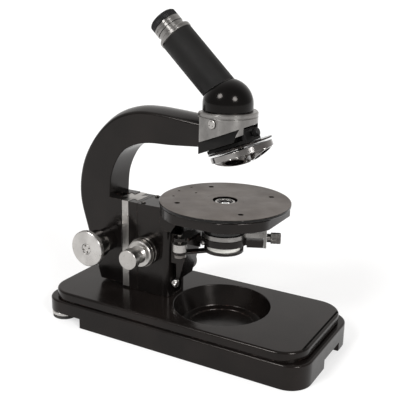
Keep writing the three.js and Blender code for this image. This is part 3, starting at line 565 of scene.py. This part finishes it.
def turned(node, direction, material, soft=0.35, knurls=(), count=ROUND_COUNT, tools=None):
    """A finer version of a turned CAD node. knurls are (from, to, teeth, depth, slant): heights as shares of
    the node's length, depth in mm, and slant in turns of the pattern per mm, 0 for straight ribs.
    tools(place, low, high) gives cutters for the finished piece."""
    outline, closed, place = read_profile(node, direction)
    heights = [z for _, z in outline]
    low, high = min(heights), max(heights)
    outer = max(r for r, _ in outline)
    bands = []
    for start, end, teeth, depth, slant in knurls:
        z0, z1 = low + (high - low) * start, low + (high - low) * end
        rows = max(2, round((z1 - z0) / MM / KNURL_ROW)) if slant else 2
        bands.append((z0, z1, teeth, depth * MM, slant, rows))
    outline = soften(outline, closed, soft)
    if bands:
        outline = densify(outline, closed, [(z0, z1, rows) for z0, z1, _, _, _, rows in bands])
        count = max(count, 4 * max(teeth for _, _, teeth, _, _, _ in bands))

    def knurled(r, z, angle):
        for z0, z1, teeth, depth, slant, _ in bands:
            if z0 - TINY <= z <= z1 + TINY and r > KNURL_RIM * outer:
                shift = 2 * math.pi * slant * (z - z0) / MM
                ridge = 0.5 + 0.5 * math.cos(teeth * angle + shift)
                if slant:
                    ridge = min(ridge, 0.5 + 0.5 * math.cos(teeth * angle - shift))
                return r - depth * (1 - ridge)
        return r

    bm = lathe(outline, closed, count, knurled if bands else None)
    made = object_from(bm, f"{node}_finished", material, place)
    if tools:
        carve(made, tools(place, low, high))
    finish_edges(made, 0)
    own(made, node)


def refined(node, material, width):
    """A finer version of a cast or milled CAD node: its own faces merged, with rounded edges."""
    bm = welded(node)
    bmesh.ops.dissolve_limit(bm, angle_limit=COPLANAR_ANGLE, verts=bm.verts, edges=bm.edges)
    made = object_from(bm, f"{node}_finished", material)
    finish_edges(made, width)
    own(made, node)


def shaped(node, outline, closed, tools, material, width, soft=0.3):
    """A piece turned about the optical axis, cut by tools. The outline is (radius, height) in millimetres."""
    outline = soften([(r * MM, z * MM) for r, z in outline], closed, soft)
    bm = lathe(outline, closed, 2 * ROUND_COUNT)
    made = object_from(bm, f"{node}_finished", material, ON_AXIS)
    carve(made, tools)
    finish_edges(made, width)
    own(made, node)


def cutter_object(bm, place=None):
    """An object to cut with, from a bmesh, which is freed."""
    bmesh.ops.recalc_face_normals(bm, faces=bm.faces)
    mesh = bpy.data.meshes.new("cutter")
    bm.to_mesh(mesh)
    bm.free()
    made = bpy.data.objects.new("cutter", mesh)
    bpy.context.scene.collection.objects.link(made)
    made.matrix_world = place if place is not None else ON_AXIS
    return made


def block(low, high, place=None):
    """A box to cut with. Corners in millimetres from the optical axis, or in the given frame."""
    bm = bmesh.new()
    bmesh.ops.create_cube(bm, size=1)
    for v in bm.verts:
        v.co = Vector([MM * (a + (b - a) * (c + 0.5)) for a, b, c in zip(low, high, v.co)])
    return cutter_object(bm, place)


def drill(radius, depth, at, direction=UP, count=24):
    """A round tool, centred at a point in metres, that reaches depth mm each way along the direction."""
    corners = (0, -depth), (radius, -depth), (radius, depth), (0, depth)
    bm = lathe([(r * MM, z * MM) for r, z in corners], False, count)
    place = Vector(direction).to_track_quat("Z", "Y").to_matrix().to_4x4()
    place.translation = at
    return cutter_object(bm, place)


def prism(points, y0, y1, place=None):
    """A tool with a side outline of (x, z) points, carried across from y0 to y1. Millimetres."""
    bm = bmesh.new()
    loops = [[bm.verts.new((x * MM, y * MM, z * MM)) for x, z in points] for y in (y0, y1)]
    for loop in loops:
        bm.faces.new(loop)
    for i in range(len(points)):
        j = (i + 1) % len(points)
        bm.faces.new((loops[0][i], loops[0][j], loops[1][j], loops[1][i]))
    return cutter_object(bm, place)


def end_holes(reach, radius, depth, angles):
    """Tools for round holes in the outer end of a turned piece, at a distance from its axis. Millimetres."""
    def tools(place, low, high):
        axis = place.to_3x3() @ UP
        turns = [math.radians(angle) for angle in angles]
        spots = [Vector((reach * MM * math.cos(a), reach * MM * math.sin(a), high)) for a in turns]
        return [drill(radius, depth, place @ spot, axis, 16) for spot in spots]
    return tools


# ----------------------------------------------------------------------------- foot
# Millimetres from the optical axis.
FOOT_SKIRT = {"x0": -169.5, "x1": 107.5, "half": 60.5, "corner": 21.0}
FOOT_PLATEAU = {"x0": -164.5, "x1": 102.5, "half": 58.8, "corner": 25.0}
FOOT_HOLLOW = {"x0": -159.5, "x1": 97.5, "half": 54.5, "corner": 15.0}
BOSS = [(0, 0), (13, 0), (13, 12.2), (10, 13.2), (10, 17.5), (0, 17.5)]
BOSS_INWARD, BOSS_Z = 3, 10             # how far a boss stands in from its levelling screw, and its height
SCREW_HOLE, SCREW_HOLE_REACH, SCREW_HOLE_Z = 4.3, 17, 9.8
REAR_STEP = (-175, -70, -2), (-123.8, 70, 10)
CABLE_NOTCH = (95.5, -9, -2), (112, 29, 9)
END_LINE = (99, -40, 32.05), (99.9, 43, 34)
LIP_Z, GROOVE_Z, GROOVE_DEPTH = 23.2, 24.6, 1.6
SKIRT_ROUND, TOP_ROUND = 1.9, 2.2
FOOT_ROOF = 25.75
WELL = {
    "radius": 45.9, "floor": 39.0, "floor_z": 13.0, "pad": 31.0, "pad_depth": 0.8,
    "outside": 50.0, "under": 5.0, "taper": 1.9, "lip": 0.9,
}
# Rounded edges as (outward, upward) steps from the corner they take off.
SKIRT_FOOT = [(-0.7, 0), (-0.2, 0.2), (0, 0.7)]
GROOVE_TOP = [(-0.6, 0), (-0.15, 0.2), (0, 0.7)]
WELL_FLOOR = [(0.35, 1.0), (-0.1, 0.25), (-0.9, 0)]
WELL_PAD = [(0.4, 0), (0, -0.3), (-0.2, -WELL["pad_depth"])]
HOLLOW_FLARE = 0.5
ARC_STEPS, QUARTER_STEPS, LIP_STEPS = 14, 5, 4
LONG_STEPS, SHORT_STEPS = 30, 8


def straight_shares():
    """Shares along each straight side, even in angle as seen from the well."""
    x0 = FOOT_PLATEAU["x0"] + FOOT_PLATEAU["corner"]
    x1 = FOOT_PLATEAU["x1"] - FOOT_PLATEAU["corner"]
    half = FOOT_PLATEAU["half"]
    first, last = math.atan2(-half, x0), math.atan2(-half, x1)
    long_side = [
        (half / math.tan(-(first + (last - first) * k / LONG_STEPS)) - x0) / (x1 - x0)
        for k in range(1, LONG_STEPS)
    ]
    short_side = [k / SHORT_STEPS for k in range(1, SHORT_STEPS)]
    return [long_side, short_side, [1 - s for s in reversed(long_side)], short_side]


SHARES = straight_shares()


def foot_outline(shape, inset=0.0):
    """Points round the foot, always the same number, anticlockwise from the end of the near left corner."""
    radius = shape["corner"] - inset
    x0, x1 = shape["x0"] + shape["corner"], shape["x1"] - shape["corner"]
    half = shape["half"] - shape["corner"]
    corners = [(x1, -half), (x1, half), (x0, half), (x0, -half)]

    def on_corner(corner, angle):
        return Vector((corner[0] + radius * math.cos(angle), corner[1] + radius * math.sin(angle)))

    points = []
    start = Vector((x0, -half - radius))
    for side, corner in enumerate(corners):
        turn = -math.pi / 2 + side * math.pi / 2
        end = on_corner(corner, turn)
        points.append(start.copy())
        points.extend(start.lerp(end, share) for share in SHARES[side])
        points.extend(on_corner(corner, turn + math.pi / 2 * k / ARC_STEPS) for k in range(ARC_STEPS))
        start = on_corner(corner, turn + math.pi / 2)
    return points


def foot_rings():
    """The rings of the casting, from the hollow underneath, out and over the foot, and down into the well."""
    directions = [math.atan2(p.y, p.x) for p in foot_outline(FOOT_PLATEAU)]
    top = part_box("base_casting")[1].z / MM

    def circle(radius, z):
        return [(radius * math.cos(a), radius * math.sin(a), z) for a in directions]

    def loop(shape, inset, z):
        return [(p.x, p.y, z) for p in foot_outline(shape, inset)]

    def rounded(shape, size, z):
        turns = [math.pi / 2 * k / QUARTER_STEPS for k in range(QUARTER_STEPS + 1)]
        return [loop(shape, size * (1 - math.cos(a)), z - size + size * math.sin(a)) for a in turns]

    rings = [
        circle(WELL["outside"], WELL["under"]), circle(WELL["outside"] + WELL["taper"], FOOT_ROOF),
        loop(FOOT_HOLLOW, 0, FOOT_ROOF), loop(FOOT_HOLLOW, 0, HOLLOW_FLARE),
        loop(FOOT_HOLLOW, -HOLLOW_FLARE, 0),
    ]
    rings += [loop(FOOT_SKIRT, -outward, upward) for outward, upward in SKIRT_FOOT]
    rings += rounded(FOOT_SKIRT, SKIRT_ROUND, LIP_Z)
    rings += [loop(FOOT_PLATEAU, GROOVE_DEPTH, LIP_Z), loop(FOOT_PLATEAU, GROOVE_DEPTH, GROOVE_Z)]
    rings += [loop(FOOT_PLATEAU, -outward, GROOVE_Z + upward) for outward, upward in GROOVE_TOP]
    rings += rounded(FOOT_PLATEAU, TOP_ROUND, top)
    rings += [
        circle(WELL["radius"] + WELL["lip"] * (1 - math.sin(a)), top - WELL["lip"] * (1 - math.cos(a)))
        for a in (math.pi / 2 * k / LIP_STEPS for k in range(LIP_STEPS + 1))
    ]
    for edge, steps in (("floor", WELL_FLOOR), ("pad", WELL_PAD)):
        rings += [circle(WELL[edge] + outward, WELL["floor_z"] + upward) for outward, upward in steps]
    return rings


def foot_casting():
    bm = bmesh.new()
    rings = [[bm.verts.new(Vector(p) * MM) for p in ring] for ring in foot_rings()]
    for low, high in zip(rings, rings[1:]):
        for k in range(len(low)):
            n = (k + 1) % len(low)
            bm.faces.new((low[k], low[n], high[n], high[k]))
    for ring, z in ((rings[0], WELL["under"]), (rings[-1], WELL["floor_z"] - WELL["pad_depth"])):
        centre = bm.verts.new((0, 0, z * MM))
        for k in range(len(ring)):
            bm.faces.new((ring[k], ring[(k + 1) % len(ring)], centre))
    made = object_from(bm, "base_casting_finished", FOOT, ON_AXIS)
    studs = [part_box(f"levelling_screw_{side}") for side in ("near", "far")]
    centres = [(low + high) / 2 for low, high in studs]
    bosses = [
        cutter_object(
            lathe([(r * MM, z * MM) for r, z in BOSS], False, 48),
            Matrix.Translation((
                c.x + BOSS_INWARD * MM, c.y - math.copysign(BOSS_INWARD * MM, c.y), BOSS_Z * MM,
            )),
        )
        for c in centres
    ]
    carve(made, bosses, "UNION")
    tools = [block(*corners) for corners in (REAR_STEP, CABLE_NOTCH, END_LINE)]
    tools += [drill(SCREW_HOLE, SCREW_HOLE_REACH, Vector((c.x, c.y, SCREW_HOLE_Z * MM))) for c in centres]
    carve(made, tools)
    finish_edges(made, 0)
    own(made, "base_casting")


foot_casting()

# ----------------------------------------------------------------------------- limb
# Millimetres from the optical axis. Side curves of the limb as (x, z), from the foot of its slide block
# round to the head.
LIMB_OUTER = [
    (-130.4, 36.9), (-144.7, 84.6), (-153.3, 119), (-149.8, 150), (-136.2, 176.8),
    (-115.6, 198), (-92.6, 208.3), (-66, 210.4), (-19.3, 206),
]
LIMB_INNER = [
    (-117.8, 123.8), (-115.5, 146), (-106, 166), (-93, 176.8),
    (-74, 182.2), (-48, 183.4), (-19.3, 185.5),
]
LEDGE_SHARE, LEDGE_Z, BLOCK_FRONT = 0.2475, 123.5, -103.5
LIMB_HALF, LIMB_CROWN = 16.5, 4.8
INNER_ROUND, OUTER_ROUND = 1.0, 2.2
BLOCK_STEPS, BOW_STEPS, EDGE_STEPS, FLAT_STEPS = 24, 90, 5, 7
DOVETAIL = [
    (-102.9, -6.12), (-103.5, -6.12), (-109.62, -9.62),
    (-109.62, 9.62), (-103.5, 6.12), (-102.9, 6.12),
]
SLIDE_FROM, SLIDE_TO = 20, 130
RACK_SLOT = (-117.2, -4.3, SLIDE_FROM), (-103, 4.3, SLIDE_TO)
PINION_ROOM, PINION_REACH = 8, 4.3
SHAFT_HOLE, SHAFT_REACH = 3.25, 30
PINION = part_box("coarse_pinion")
PINION_AXIS = (PINION[0] + PINION[1]) / 2


def spline(points, t):
    """A point on the smooth curve through the points, evenly spaced in t."""
    place = t * (len(points) - 1)
    first = min(int(place), len(points) - 2)
    t = place - first
    a, b, c, d = (Vector(points[max(0, min(len(points) - 1, first + k))]) for k in (-1, 0, 1, 2))
    square, cube = (2 * a - 5 * b + 4 * c - d), (3 * b - a - 3 * c + d)
    return 0.5 * (2 * b + (c - a) * t + square * t ** 2 + cube * t ** 3)


def rows_across(edge):
    """Places across the limb, closer together round the two edges."""
    turns = [math.pi / 2 * k / EDGE_STEPS for k in range(EDGE_STEPS + 1)]
    bend = [LIMB_HALF - edge * (1 - math.sin(a)) for a in turns]
    flat = [(LIMB_HALF - edge) * k / FLAT_STEPS for k in range(1 - FLAT_STEPS, FLAT_STEPS)]
    return [-y for y in reversed(bend)] + flat + bend


def limb_section(inner, outer, along):
    """Points round one station: the flat inner side, then the crowned outer side."""
    section = []
    for base, crown, edge in ((inner, 0.0, INNER_ROUND), (outer, LIMB_CROWN, OUTER_ROUND)):
        side = []
        for y in rows_across(edge):
            past = max(0.0, abs(y) - (LIMB_HALF - edge))
            fall = edge - math.sqrt(max(0.0, edge ** 2 - past ** 2))
            rise = crown * (1 - (y / LIMB_HALF) ** 2) - fall if crown else fall
            point = base + along * rise
            side.append((point.x * MM, y * MM, point.y * MM))
        section += side if base is inner else side[::-1]
    return section


def limb_sections():
    """Sections up the slide block, across the ledge above it, and round the bow to the head."""
    back = Vector((-1, 0))
    ledge_outer = spline(LIMB_OUTER, LEDGE_SHARE)
    sections = []
    for i in range(BLOCK_STEPS + 1):
        outer = spline(LIMB_OUTER, LEDGE_SHARE * i / BLOCK_STEPS)
        sections.append(limb_section(Vector((BLOCK_FRONT, outer.y)), outer, back))
    for x in (BLOCK_FRONT, LIMB_INNER[0][0]):
        sections.append(limb_section(Vector((x, LEDGE_Z)), ledge_outer, back))
    for i in range(1, BOW_STEPS + 1):
        t = i / BOW_STEPS
        inner, outer = spline(LIMB_INNER, t), spline(LIMB_OUTER, LEDGE_SHARE + (1 - LEDGE_SHARE) * t)
        sections.append(limb_section(inner, outer, (outer - inner).normalized()))
    return sections


def limb():
    bm = bmesh.new()
    loops = [[bm.verts.new(point) for point in section] for section in limb_sections()]
    for low, high in zip(loops, loops[1:]):
        for i in range(len(low)):
            j = (i + 1) % len(low)
            bm.faces.new((low[i], low[j], high[j], high[i]))
    bm.faces.new(loops[0])
    bm.faces.new(loops[-1])
    bmesh.ops.remove_doubles(bm, verts=bm.verts, dist=WELD)
    made = object_from(bm, "limb_finished", ENAMEL, ON_AXIS)
    upright = Matrix.Rotation(math.pi / 2, 4, "X")
    carve(made, [
        prism([(x, -y) for x, y in DOVETAIL], SLIDE_FROM, SLIDE_TO, ON_AXIS @ upright),
        block(*RACK_SLOT),
        drill(PINION_ROOM, PINION_REACH, PINION_AXIS, FAR, 48),
        drill(SHAFT_HOLE, SHAFT_REACH, PINION_AXIS, FAR, 32),
    ])
    finish_edges(made, 0)
    own(made, "limb")


limb()

# --------------------------------------------------------------------- other pieces
KNURL = 0.17            # slant of the crossed knurling, in turns of the pattern per mm
SPANNER_HOLES = end_holes(3.3, 1.05, 2.4, (20, 110, 200, 290))
# The coarse drums, in millimetres and degrees. TOMMY_HOLE is a radius and a depth, and LINE_CUTTER the size
# of a scale line's cutter through the surface and across the line.
DRUM_RADIUS, TOMMY_TURN, TOMMY_HOLE = 13.6, 48, (2.3, 4)
SCALE_LINES, LONG_EVERY, SHORT_LINE, LONG_LINE, LINE_START = 30, 5, 1.9, 3.2, 1.4
LINE_CUTTER = (1.2, 0.5)


def drum_marks(place, low, high):
    """A tommy hole and a scale of short lines round a coarse drum, in the drum's own frame."""
    middle = (low + high) / 2
    turn = math.radians(-TOMMY_TURN if place.to_3x3().col[2].y < 0 else TOMMY_TURN)
    outward = Vector((math.cos(turn), math.sin(turn), 0))
    radius, depth = TOMMY_HOLE
    tommy = drill(radius, depth, place @ (outward * DRUM_RADIUS * MM + UP * middle), place.to_3x3() @ outward)
    bm = bmesh.new()
    for k in range(SCALE_LINES):
        tool = bmesh.ops.create_cube(bm, size=1)
        length = SHORT_LINE if k % LONG_EVERY else LONG_LINE
        size = Matrix.Diagonal((*(side * MM for side in LINE_CUTTER), length * MM, 1))
        at = Matrix.Translation((DRUM_RADIUS * MM, 0, low + (LINE_START + length / 2) * MM))
        turned_by = Matrix.Rotation(2 * math.pi * k / SCALE_LINES, 4, "Z")
        bmesh.ops.transform(bm, matrix=turned_by @ at @ size, verts=tool["verts"])
    return [tommy, cutter_object(bm, place)]


for side_name, outward in (("near", NEAR), ("far", FAR)):
    turned(f"levelling_screw_{side_name}", UP, LIT_SATIN, 0.3, [(0.03, 0.115, 60, 0.25, 0)])
    turned(f"levelling_pad_{side_name}", UP, RUBBER, 0.3)
    turned(f"coarse_hub_{side_name}", outward, ENAMEL, 0.4)
    turned(f"coarse_drum_{side_name}", outward, CHROME, 0.3, tools=drum_marks)
    turned(f"coarse_knob_{side_name}", outward, LIT_SATIN, 0.5, [(0.12, 0.86, 84, 0.38, 0)])
    turned(f"coarse_knob_screw_{side_name}", outward, LIT_SATIN, 0.3, tools=SPANNER_HOLES)
    turned(f"fine_collar_{side_name}", outward, DARK, 0.3)
    turned(f"fine_knob_{side_name}", outward, SATIN, 0.35, [(0.67, 0.965, 56, 0.28, KNURL)])
    turned(f"pillar_screw_{side_name}", UP, DARK, 0.2, count=32)

turned("fine_shaft", FAR, DARK, 0.2, count=32)
turned("pillar_foot_screw", (1, 0, 0), LIT_SATIN, 0.3, [(0.36, 0.86, 26, 0.25, 0)])
turned("tube_flange", TUBE_AXIS, SHADED_SATIN, 0.3)
turned("eyepiece_barrel", TUBE_AXIS, SHADED_SATIN, 0.25)
turned("eye_cap", TUBE_AXIS, PLASTIC, 0.5, [(0.1, 0.72, 48, 0.35, 0)])
turned("eye_lens", TUBE_AXIS, GLASS, 0.2)
turned("field_lens", TUBE_AXIS, GLASS, 0.2)
turned("turret_screw", -TURRET_AXIS, DEEP_SHADED_SATIN, 0.3)
turned("nose_lock_knob", NOSE_AXIS, PLASTIC, 0.3, [(0.3, 0.88, 26, 0.3, 0)])
turned("condenser_body", UP, CONDENSER, 0.2)
turned("condenser_lens", UP, GLASS, 0.2)
turned("condenser_screw", CLAMP_AXIS, DEEP_SHADED_SATIN, 0.3, [(0.32, 0.93, 34, 0.28, KNURL)])
turned("filter_glass", UP, OPAL, 0.3)
turned("filter_barrel", UP, SATIN, 0.4)
turned("filter_pin", UP, DARK, 0.3)
turned("substage_knob", FAR, DEEP_SHADED_SATIN, 0.35, [(0.5, 0.94, 60, 0.3, KNURL)])

SET_SCREW_ANGLE = math.radians(-123)
SET_SCREW_AXIS = Vector((math.cos(SET_SCREW_ANGLE), math.sin(SET_SCREW_ANGLE), 0))
turned("carrier_set_screw", SET_SCREW_AXIS, SATIN, 0.2, count=32)

for node, material, width in (
    ("pillar_block", ENAMEL, 0.6), ("slide_guide", ENAMEL, 0.4), ("fine_slide", SATIN, 0.25),
    ("nose_receiver", MATT, 0.4), ("nose_slide", MATT, 0.4), ("turret_guard", ENAMEL, 0.3),
    ("turret", CHROME, 0.35), ("body_tube", MATT, 0.3), ("deflecting_prism", GLASS, 0.2),
    ("stage_plate", ENAMEL, 0.6), ("stage_bracket", ENAMEL, 0.5), ("substage_slide", ENAMEL, 0.4),
    ("condenser_carrier", ENAMEL, 0.4), ("condenser_clamp", SHADED_SATIN, 0.3), ("iris_ring", DARK, 0.2),
    ("filter_holder", ENAMEL, 0.3), ("coarse_rack", SATIN, 0.12), ("coarse_pinion", DARK, 0.12),
):
    refined(node, material, width)

# ------------------------------------------------------------ stage, dome and head
# Millimetres from the optical axis.
STAGE_TOP = 136
CLIP_RADIUS, PEG_RADIUS, CLIP_AT, HOLE_DEPTH = 2.6, 1.3, 44.8, 2.4
PEG_HOLES = [(-50.4, 2.7), (-45.8, -15), (-33.7, 5.5), (-46.8, 19.6)]
STAGE_OUTLINE = [
    (11.4, STAGE_TOP), (11.4, 127.4), (30.4, 127.4), (30.4, 133), (59.5, 133), (60, 133.5),
    (60, 135.5), (59.5, STAGE_TOP), (18.2, STAGE_TOP), (18, 135.8), (17.8, STAGE_TOP),
]
DOME_RADIUS, DOME_CENTRE, DOME_STEPS = 22.5, 223.4, 24
DOME_NECK = [(0, 212.3), (20.2, 212.3), (20.2, 218.3), (DOME_RADIUS, 218.3)]
PRISM_ROOM, PRISM_REACH, PRISM_Z = 16, 16.5, 216.5
TUBE_HOLE, TUBE_REACH, TUBE_ROOT_Z = 13, 20, 227.8
HEAD_OUTLINE = [
    (0, 170), (27, 170), (27, 213.4), (26.4, 213.8), (26.4, 214.2),
    (27, 214.6), (27, 217), (26, 218), (0, 218),
]
HEAD_TURN = math.radians(21.8)          # the head's side flats are turned this much from the limb's sides
HEAD_SCREW_AXIS = Vector((-math.sin(HEAD_TURN), -math.cos(HEAD_TURN), 0))
HEAD_BACK, FLAT_AT, FLAT_TOP = -19, 22.9, 213.4
LIGHT_HOLE, LIGHT_REACH, LIGHT_Z = 12, 45, 195
DOME_SEAT, SEAT_REACH, SEAT_Z = 20.5, 14, 226
# The two lips that hold the nosepiece, in its own tilted frame.
NOSE_ROOT_Z = 197.3
LIP_GAP, LIP_SIDE, LIP_TOP, LIP_BOTTOM = 14.4, 14.3, 0.3, -5.2
LIP_FRONT = [(22.31, LIP_TOP), (17.36, LIP_BOTTOM)]
CLEAR, DEEP = 80, 60                    # reaches past everything that is cut


def at_mm(x, y, z):
    """A point measured in millimetres from the optical axis."""
    return ON_AXIS @ (Vector((x, y, z)) * MM)


def stage_disc():
    corners = [math.radians(45 + 90 * k) for k in range(4)]
    clips = [(CLIP_AT * math.cos(a), CLIP_AT * math.sin(a)) for a in corners]
    tools = [
        drill(radius, HOLE_DEPTH, at_mm(x, y, STAGE_TOP))
        for radius, holes in ((CLIP_RADIUS, clips), (PEG_RADIUS, PEG_HOLES))
        for x, y in holes
    ]
    shaped("stage_disc", STAGE_OUTLINE, True, tools, STAGE, 0, soft=0.25)


def prism_housing():
    """The dome, hollow for the prism and open to the inclined tube."""
    turns = [math.pi / 2 * k / DOME_STEPS for k in range(DOME_STEPS)]
    arc = [(DOME_RADIUS * math.cos(a), DOME_CENTRE + DOME_RADIUS * math.sin(a)) for a in turns]
    tube_middle = at_mm(0, 0, TUBE_ROOT_Z) + TUBE_REACH * MM * TUBE_AXIS
    tools = [
        drill(PRISM_ROOM, PRISM_REACH, at_mm(0, 0, PRISM_Z), count=96),
        drill(TUBE_HOLE, TUBE_REACH, tube_middle, TUBE_AXIS, 96),
    ]
    outline = DOME_NECK + arc + [(0, DOME_CENTRE + DOME_RADIUS)]
    shaped("prism_housing", outline, False, tools, DOME, 0)


def head_casting():
    """The head, with flats on its sides and two lips below that hold the nosepiece."""
    nose = Matrix((NOSE_AXIS, FAR, NOSE_AXIS.cross(FAR))).transposed().to_4x4()
    nose.translation = at_mm(0, 0, NOSE_ROOT_Z)
    below = [(-CLEAR, LIP_TOP)] + LIP_FRONT + [(CLEAR, LIP_BOTTOM), (CLEAR, -DEEP), (-CLEAR, -DEEP)]
    flat = Matrix.Rotation(HEAD_TURN, 4, "Z")
    tools = [
        block((-CLEAR, -LIP_GAP, -DEEP), (CLEAR, LIP_GAP, LIP_TOP), nose),
        prism(below, LIP_SIDE, DEEP, nose), prism(below, -DEEP, -LIP_SIDE, nose),
        block((-DEEP, -40, 150), (HEAD_BACK, 40, 240)),
        drill(LIGHT_HOLE, LIGHT_REACH, at_mm(0, 0, LIGHT_Z), count=96),
        drill(DOME_SEAT, SEAT_REACH, at_mm(0, 0, SEAT_Z), count=96),
        block((-40, FLAT_AT, 150), (40, DEEP, FLAT_TOP), ON_AXIS @ flat),
        block((-40, -DEEP, 150), (40, -FLAT_AT, FLAT_TOP), ON_AXIS @ flat.inverted()),
    ]
    shaped("head_casting", HEAD_OUTLINE, False, tools, SHADED_SATIN, 0.35, soft=0.2)


stage_disc()
prism_housing()
head_casting()
turned("head_clamp_screw", HEAD_SCREW_AXIS, SATIN, 0.25, tools=end_holes(2.5, 0.6, 1.0, (0, 120, 240)))

# ------------------------------------------------------------- floor, light, camera
FLOOR_HALF = 40.0        # in metres
FLOOR_GLOW = 0.56
LAMPS = [("left_lamp", -19.3, 38.4), ("right_lamp", 61.4, 29.1)]        # azimuth and elevation in degrees
LAMP_STRENGTH, LAMP_SPREAD = 1.9, 18
FRONT_LIGHT, BACK_LIGHT = (0.40, 0.39, 0.383, 1), (0.86, 0.845, 0.83, 1)
BACKDROP_TOWARDS, BACKDROP_FROM, BACKDROP_FULL = (209.3, 25), 0.1, 0.95
CAMERA_AT = Vector((315.58, -553.16, 322.57)) * MM
CAMERA_AZIMUTH, CAMERA_ELEVATION, CAMERA_ROLL = 29.328, 16.76, 1.113
CAMERA_LENS, CAMERA_SENSOR = 64.32, 36.0
CAMERA_CLIP = 0.01, 200


def floor():
    """A pale floor that gives off a little light of its own, so that it stays close to white."""
    bm = bmesh.new()
    bmesh.ops.create_grid(bm, x_segments=1, y_segments=1, size=FLOOR_HALF)
    s = Shader("pale_floor", (0.45, 0.45, 0.45), 0.9, specular=0.1)
    clouds = s.remap(s.noise(1.5, 3), 0.3, 0.7)
    s.feed("Base Color", s.mix(clouds, (0.44, 0.44, 0.44), (0.47, 0.47, 0.47)))
    s.set("Emission Color", (1, 1, 1, 1))
    s.set("Emission Strength", FLOOR_GLOW)
    made = object_from(bm, "floor", s.material)


def direction_to(azimuth, elevation):
    """Unit vector towards a compass direction, measured like the camera's azimuth. Degrees."""
    a, e = math.radians(azimuth), math.radians(elevation)
    return Vector((math.sin(a) * math.cos(e), -math.cos(a) * math.cos(e), math.sin(e)))


def sun(name, azimuth, elevation):
    """Soft light from a direction."""
    data = bpy.data.lights.new(name, "SUN")
    data.energy = LAMP_STRENGTH
    data.angle = math.radians(LAMP_SPREAD)
    made = bpy.data.objects.new(name, data)
    made.rotation_euler = direction_to(azimuth, elevation).to_track_quat("Z", "Y").to_euler()
    bpy.context.scene.collection.objects.link(made)


def surroundings():
    """A room that is brighter behind the object, like a lit backdrop, than in front of it."""
    world = bpy.data.worlds.new("studio")
    world.use_nodes = True
    nodes, links = world.node_tree.nodes, world.node_tree.links
    facing = nodes.new("ShaderNodeVectorMath")
    facing.operation = "DOT_PRODUCT"
    facing.inputs[1].default_value = direction_to(*BACKDROP_TOWARDS)
    links.new(nodes.new("ShaderNodeTexCoord").outputs["Generated"], facing.inputs[0])
    share = nodes.new("ShaderNodeMapRange")
    share.interpolation_type = "SMOOTHSTEP"
    share.inputs["From Min"].default_value = BACKDROP_FROM
    share.inputs["From Max"].default_value = BACKDROP_FULL
    links.new(facing.outputs["Value"], share.inputs["Value"])
    blend = nodes.new("ShaderNodeMix")
    blend.data_type = "RGBA"
    blend.inputs["A"].default_value = FRONT_LIGHT
    blend.inputs["B"].default_value = BACK_LIGHT
    links.new(share.outputs["Result"], blend.inputs["Factor"])
    links.new(blend.outputs["Result"], nodes["Background"].inputs["Color"])
    bpy.context.scene.world = world
    bpy.context.scene.view_settings.view_transform = "Standard"
    bpy.context.scene.view_settings.look = "None"


def camera():
    data = bpy.data.cameras.new("camera")
    data.sensor_width = CAMERA_SENSOR
    data.lens = CAMERA_LENS
    data.clip_start, data.clip_end = CAMERA_CLIP
    made = bpy.data.objects.new("camera", data)
    roll = math.radians(CAMERA_ROLL)
    back = direction_to(CAMERA_AZIMUTH, CAMERA_ELEVATION)
    right = (-back).cross(UP).normalized()
    up = right.cross(-back)
    rolled_right = math.cos(roll) * right + math.sin(roll) * up
    rolled_up = -math.sin(roll) * right + math.cos(roll) * up
    place = Matrix((rolled_right, rolled_up, back)).transposed().to_4x4()
    place.translation = CAMERA_AT
    made.matrix_world = place
    bpy.context.scene.collection.objects.link(made)
    bpy.context.scene.camera = made


floor()
surroundings()
for lamp in LAMPS:
    sun(*lamp)
camera()
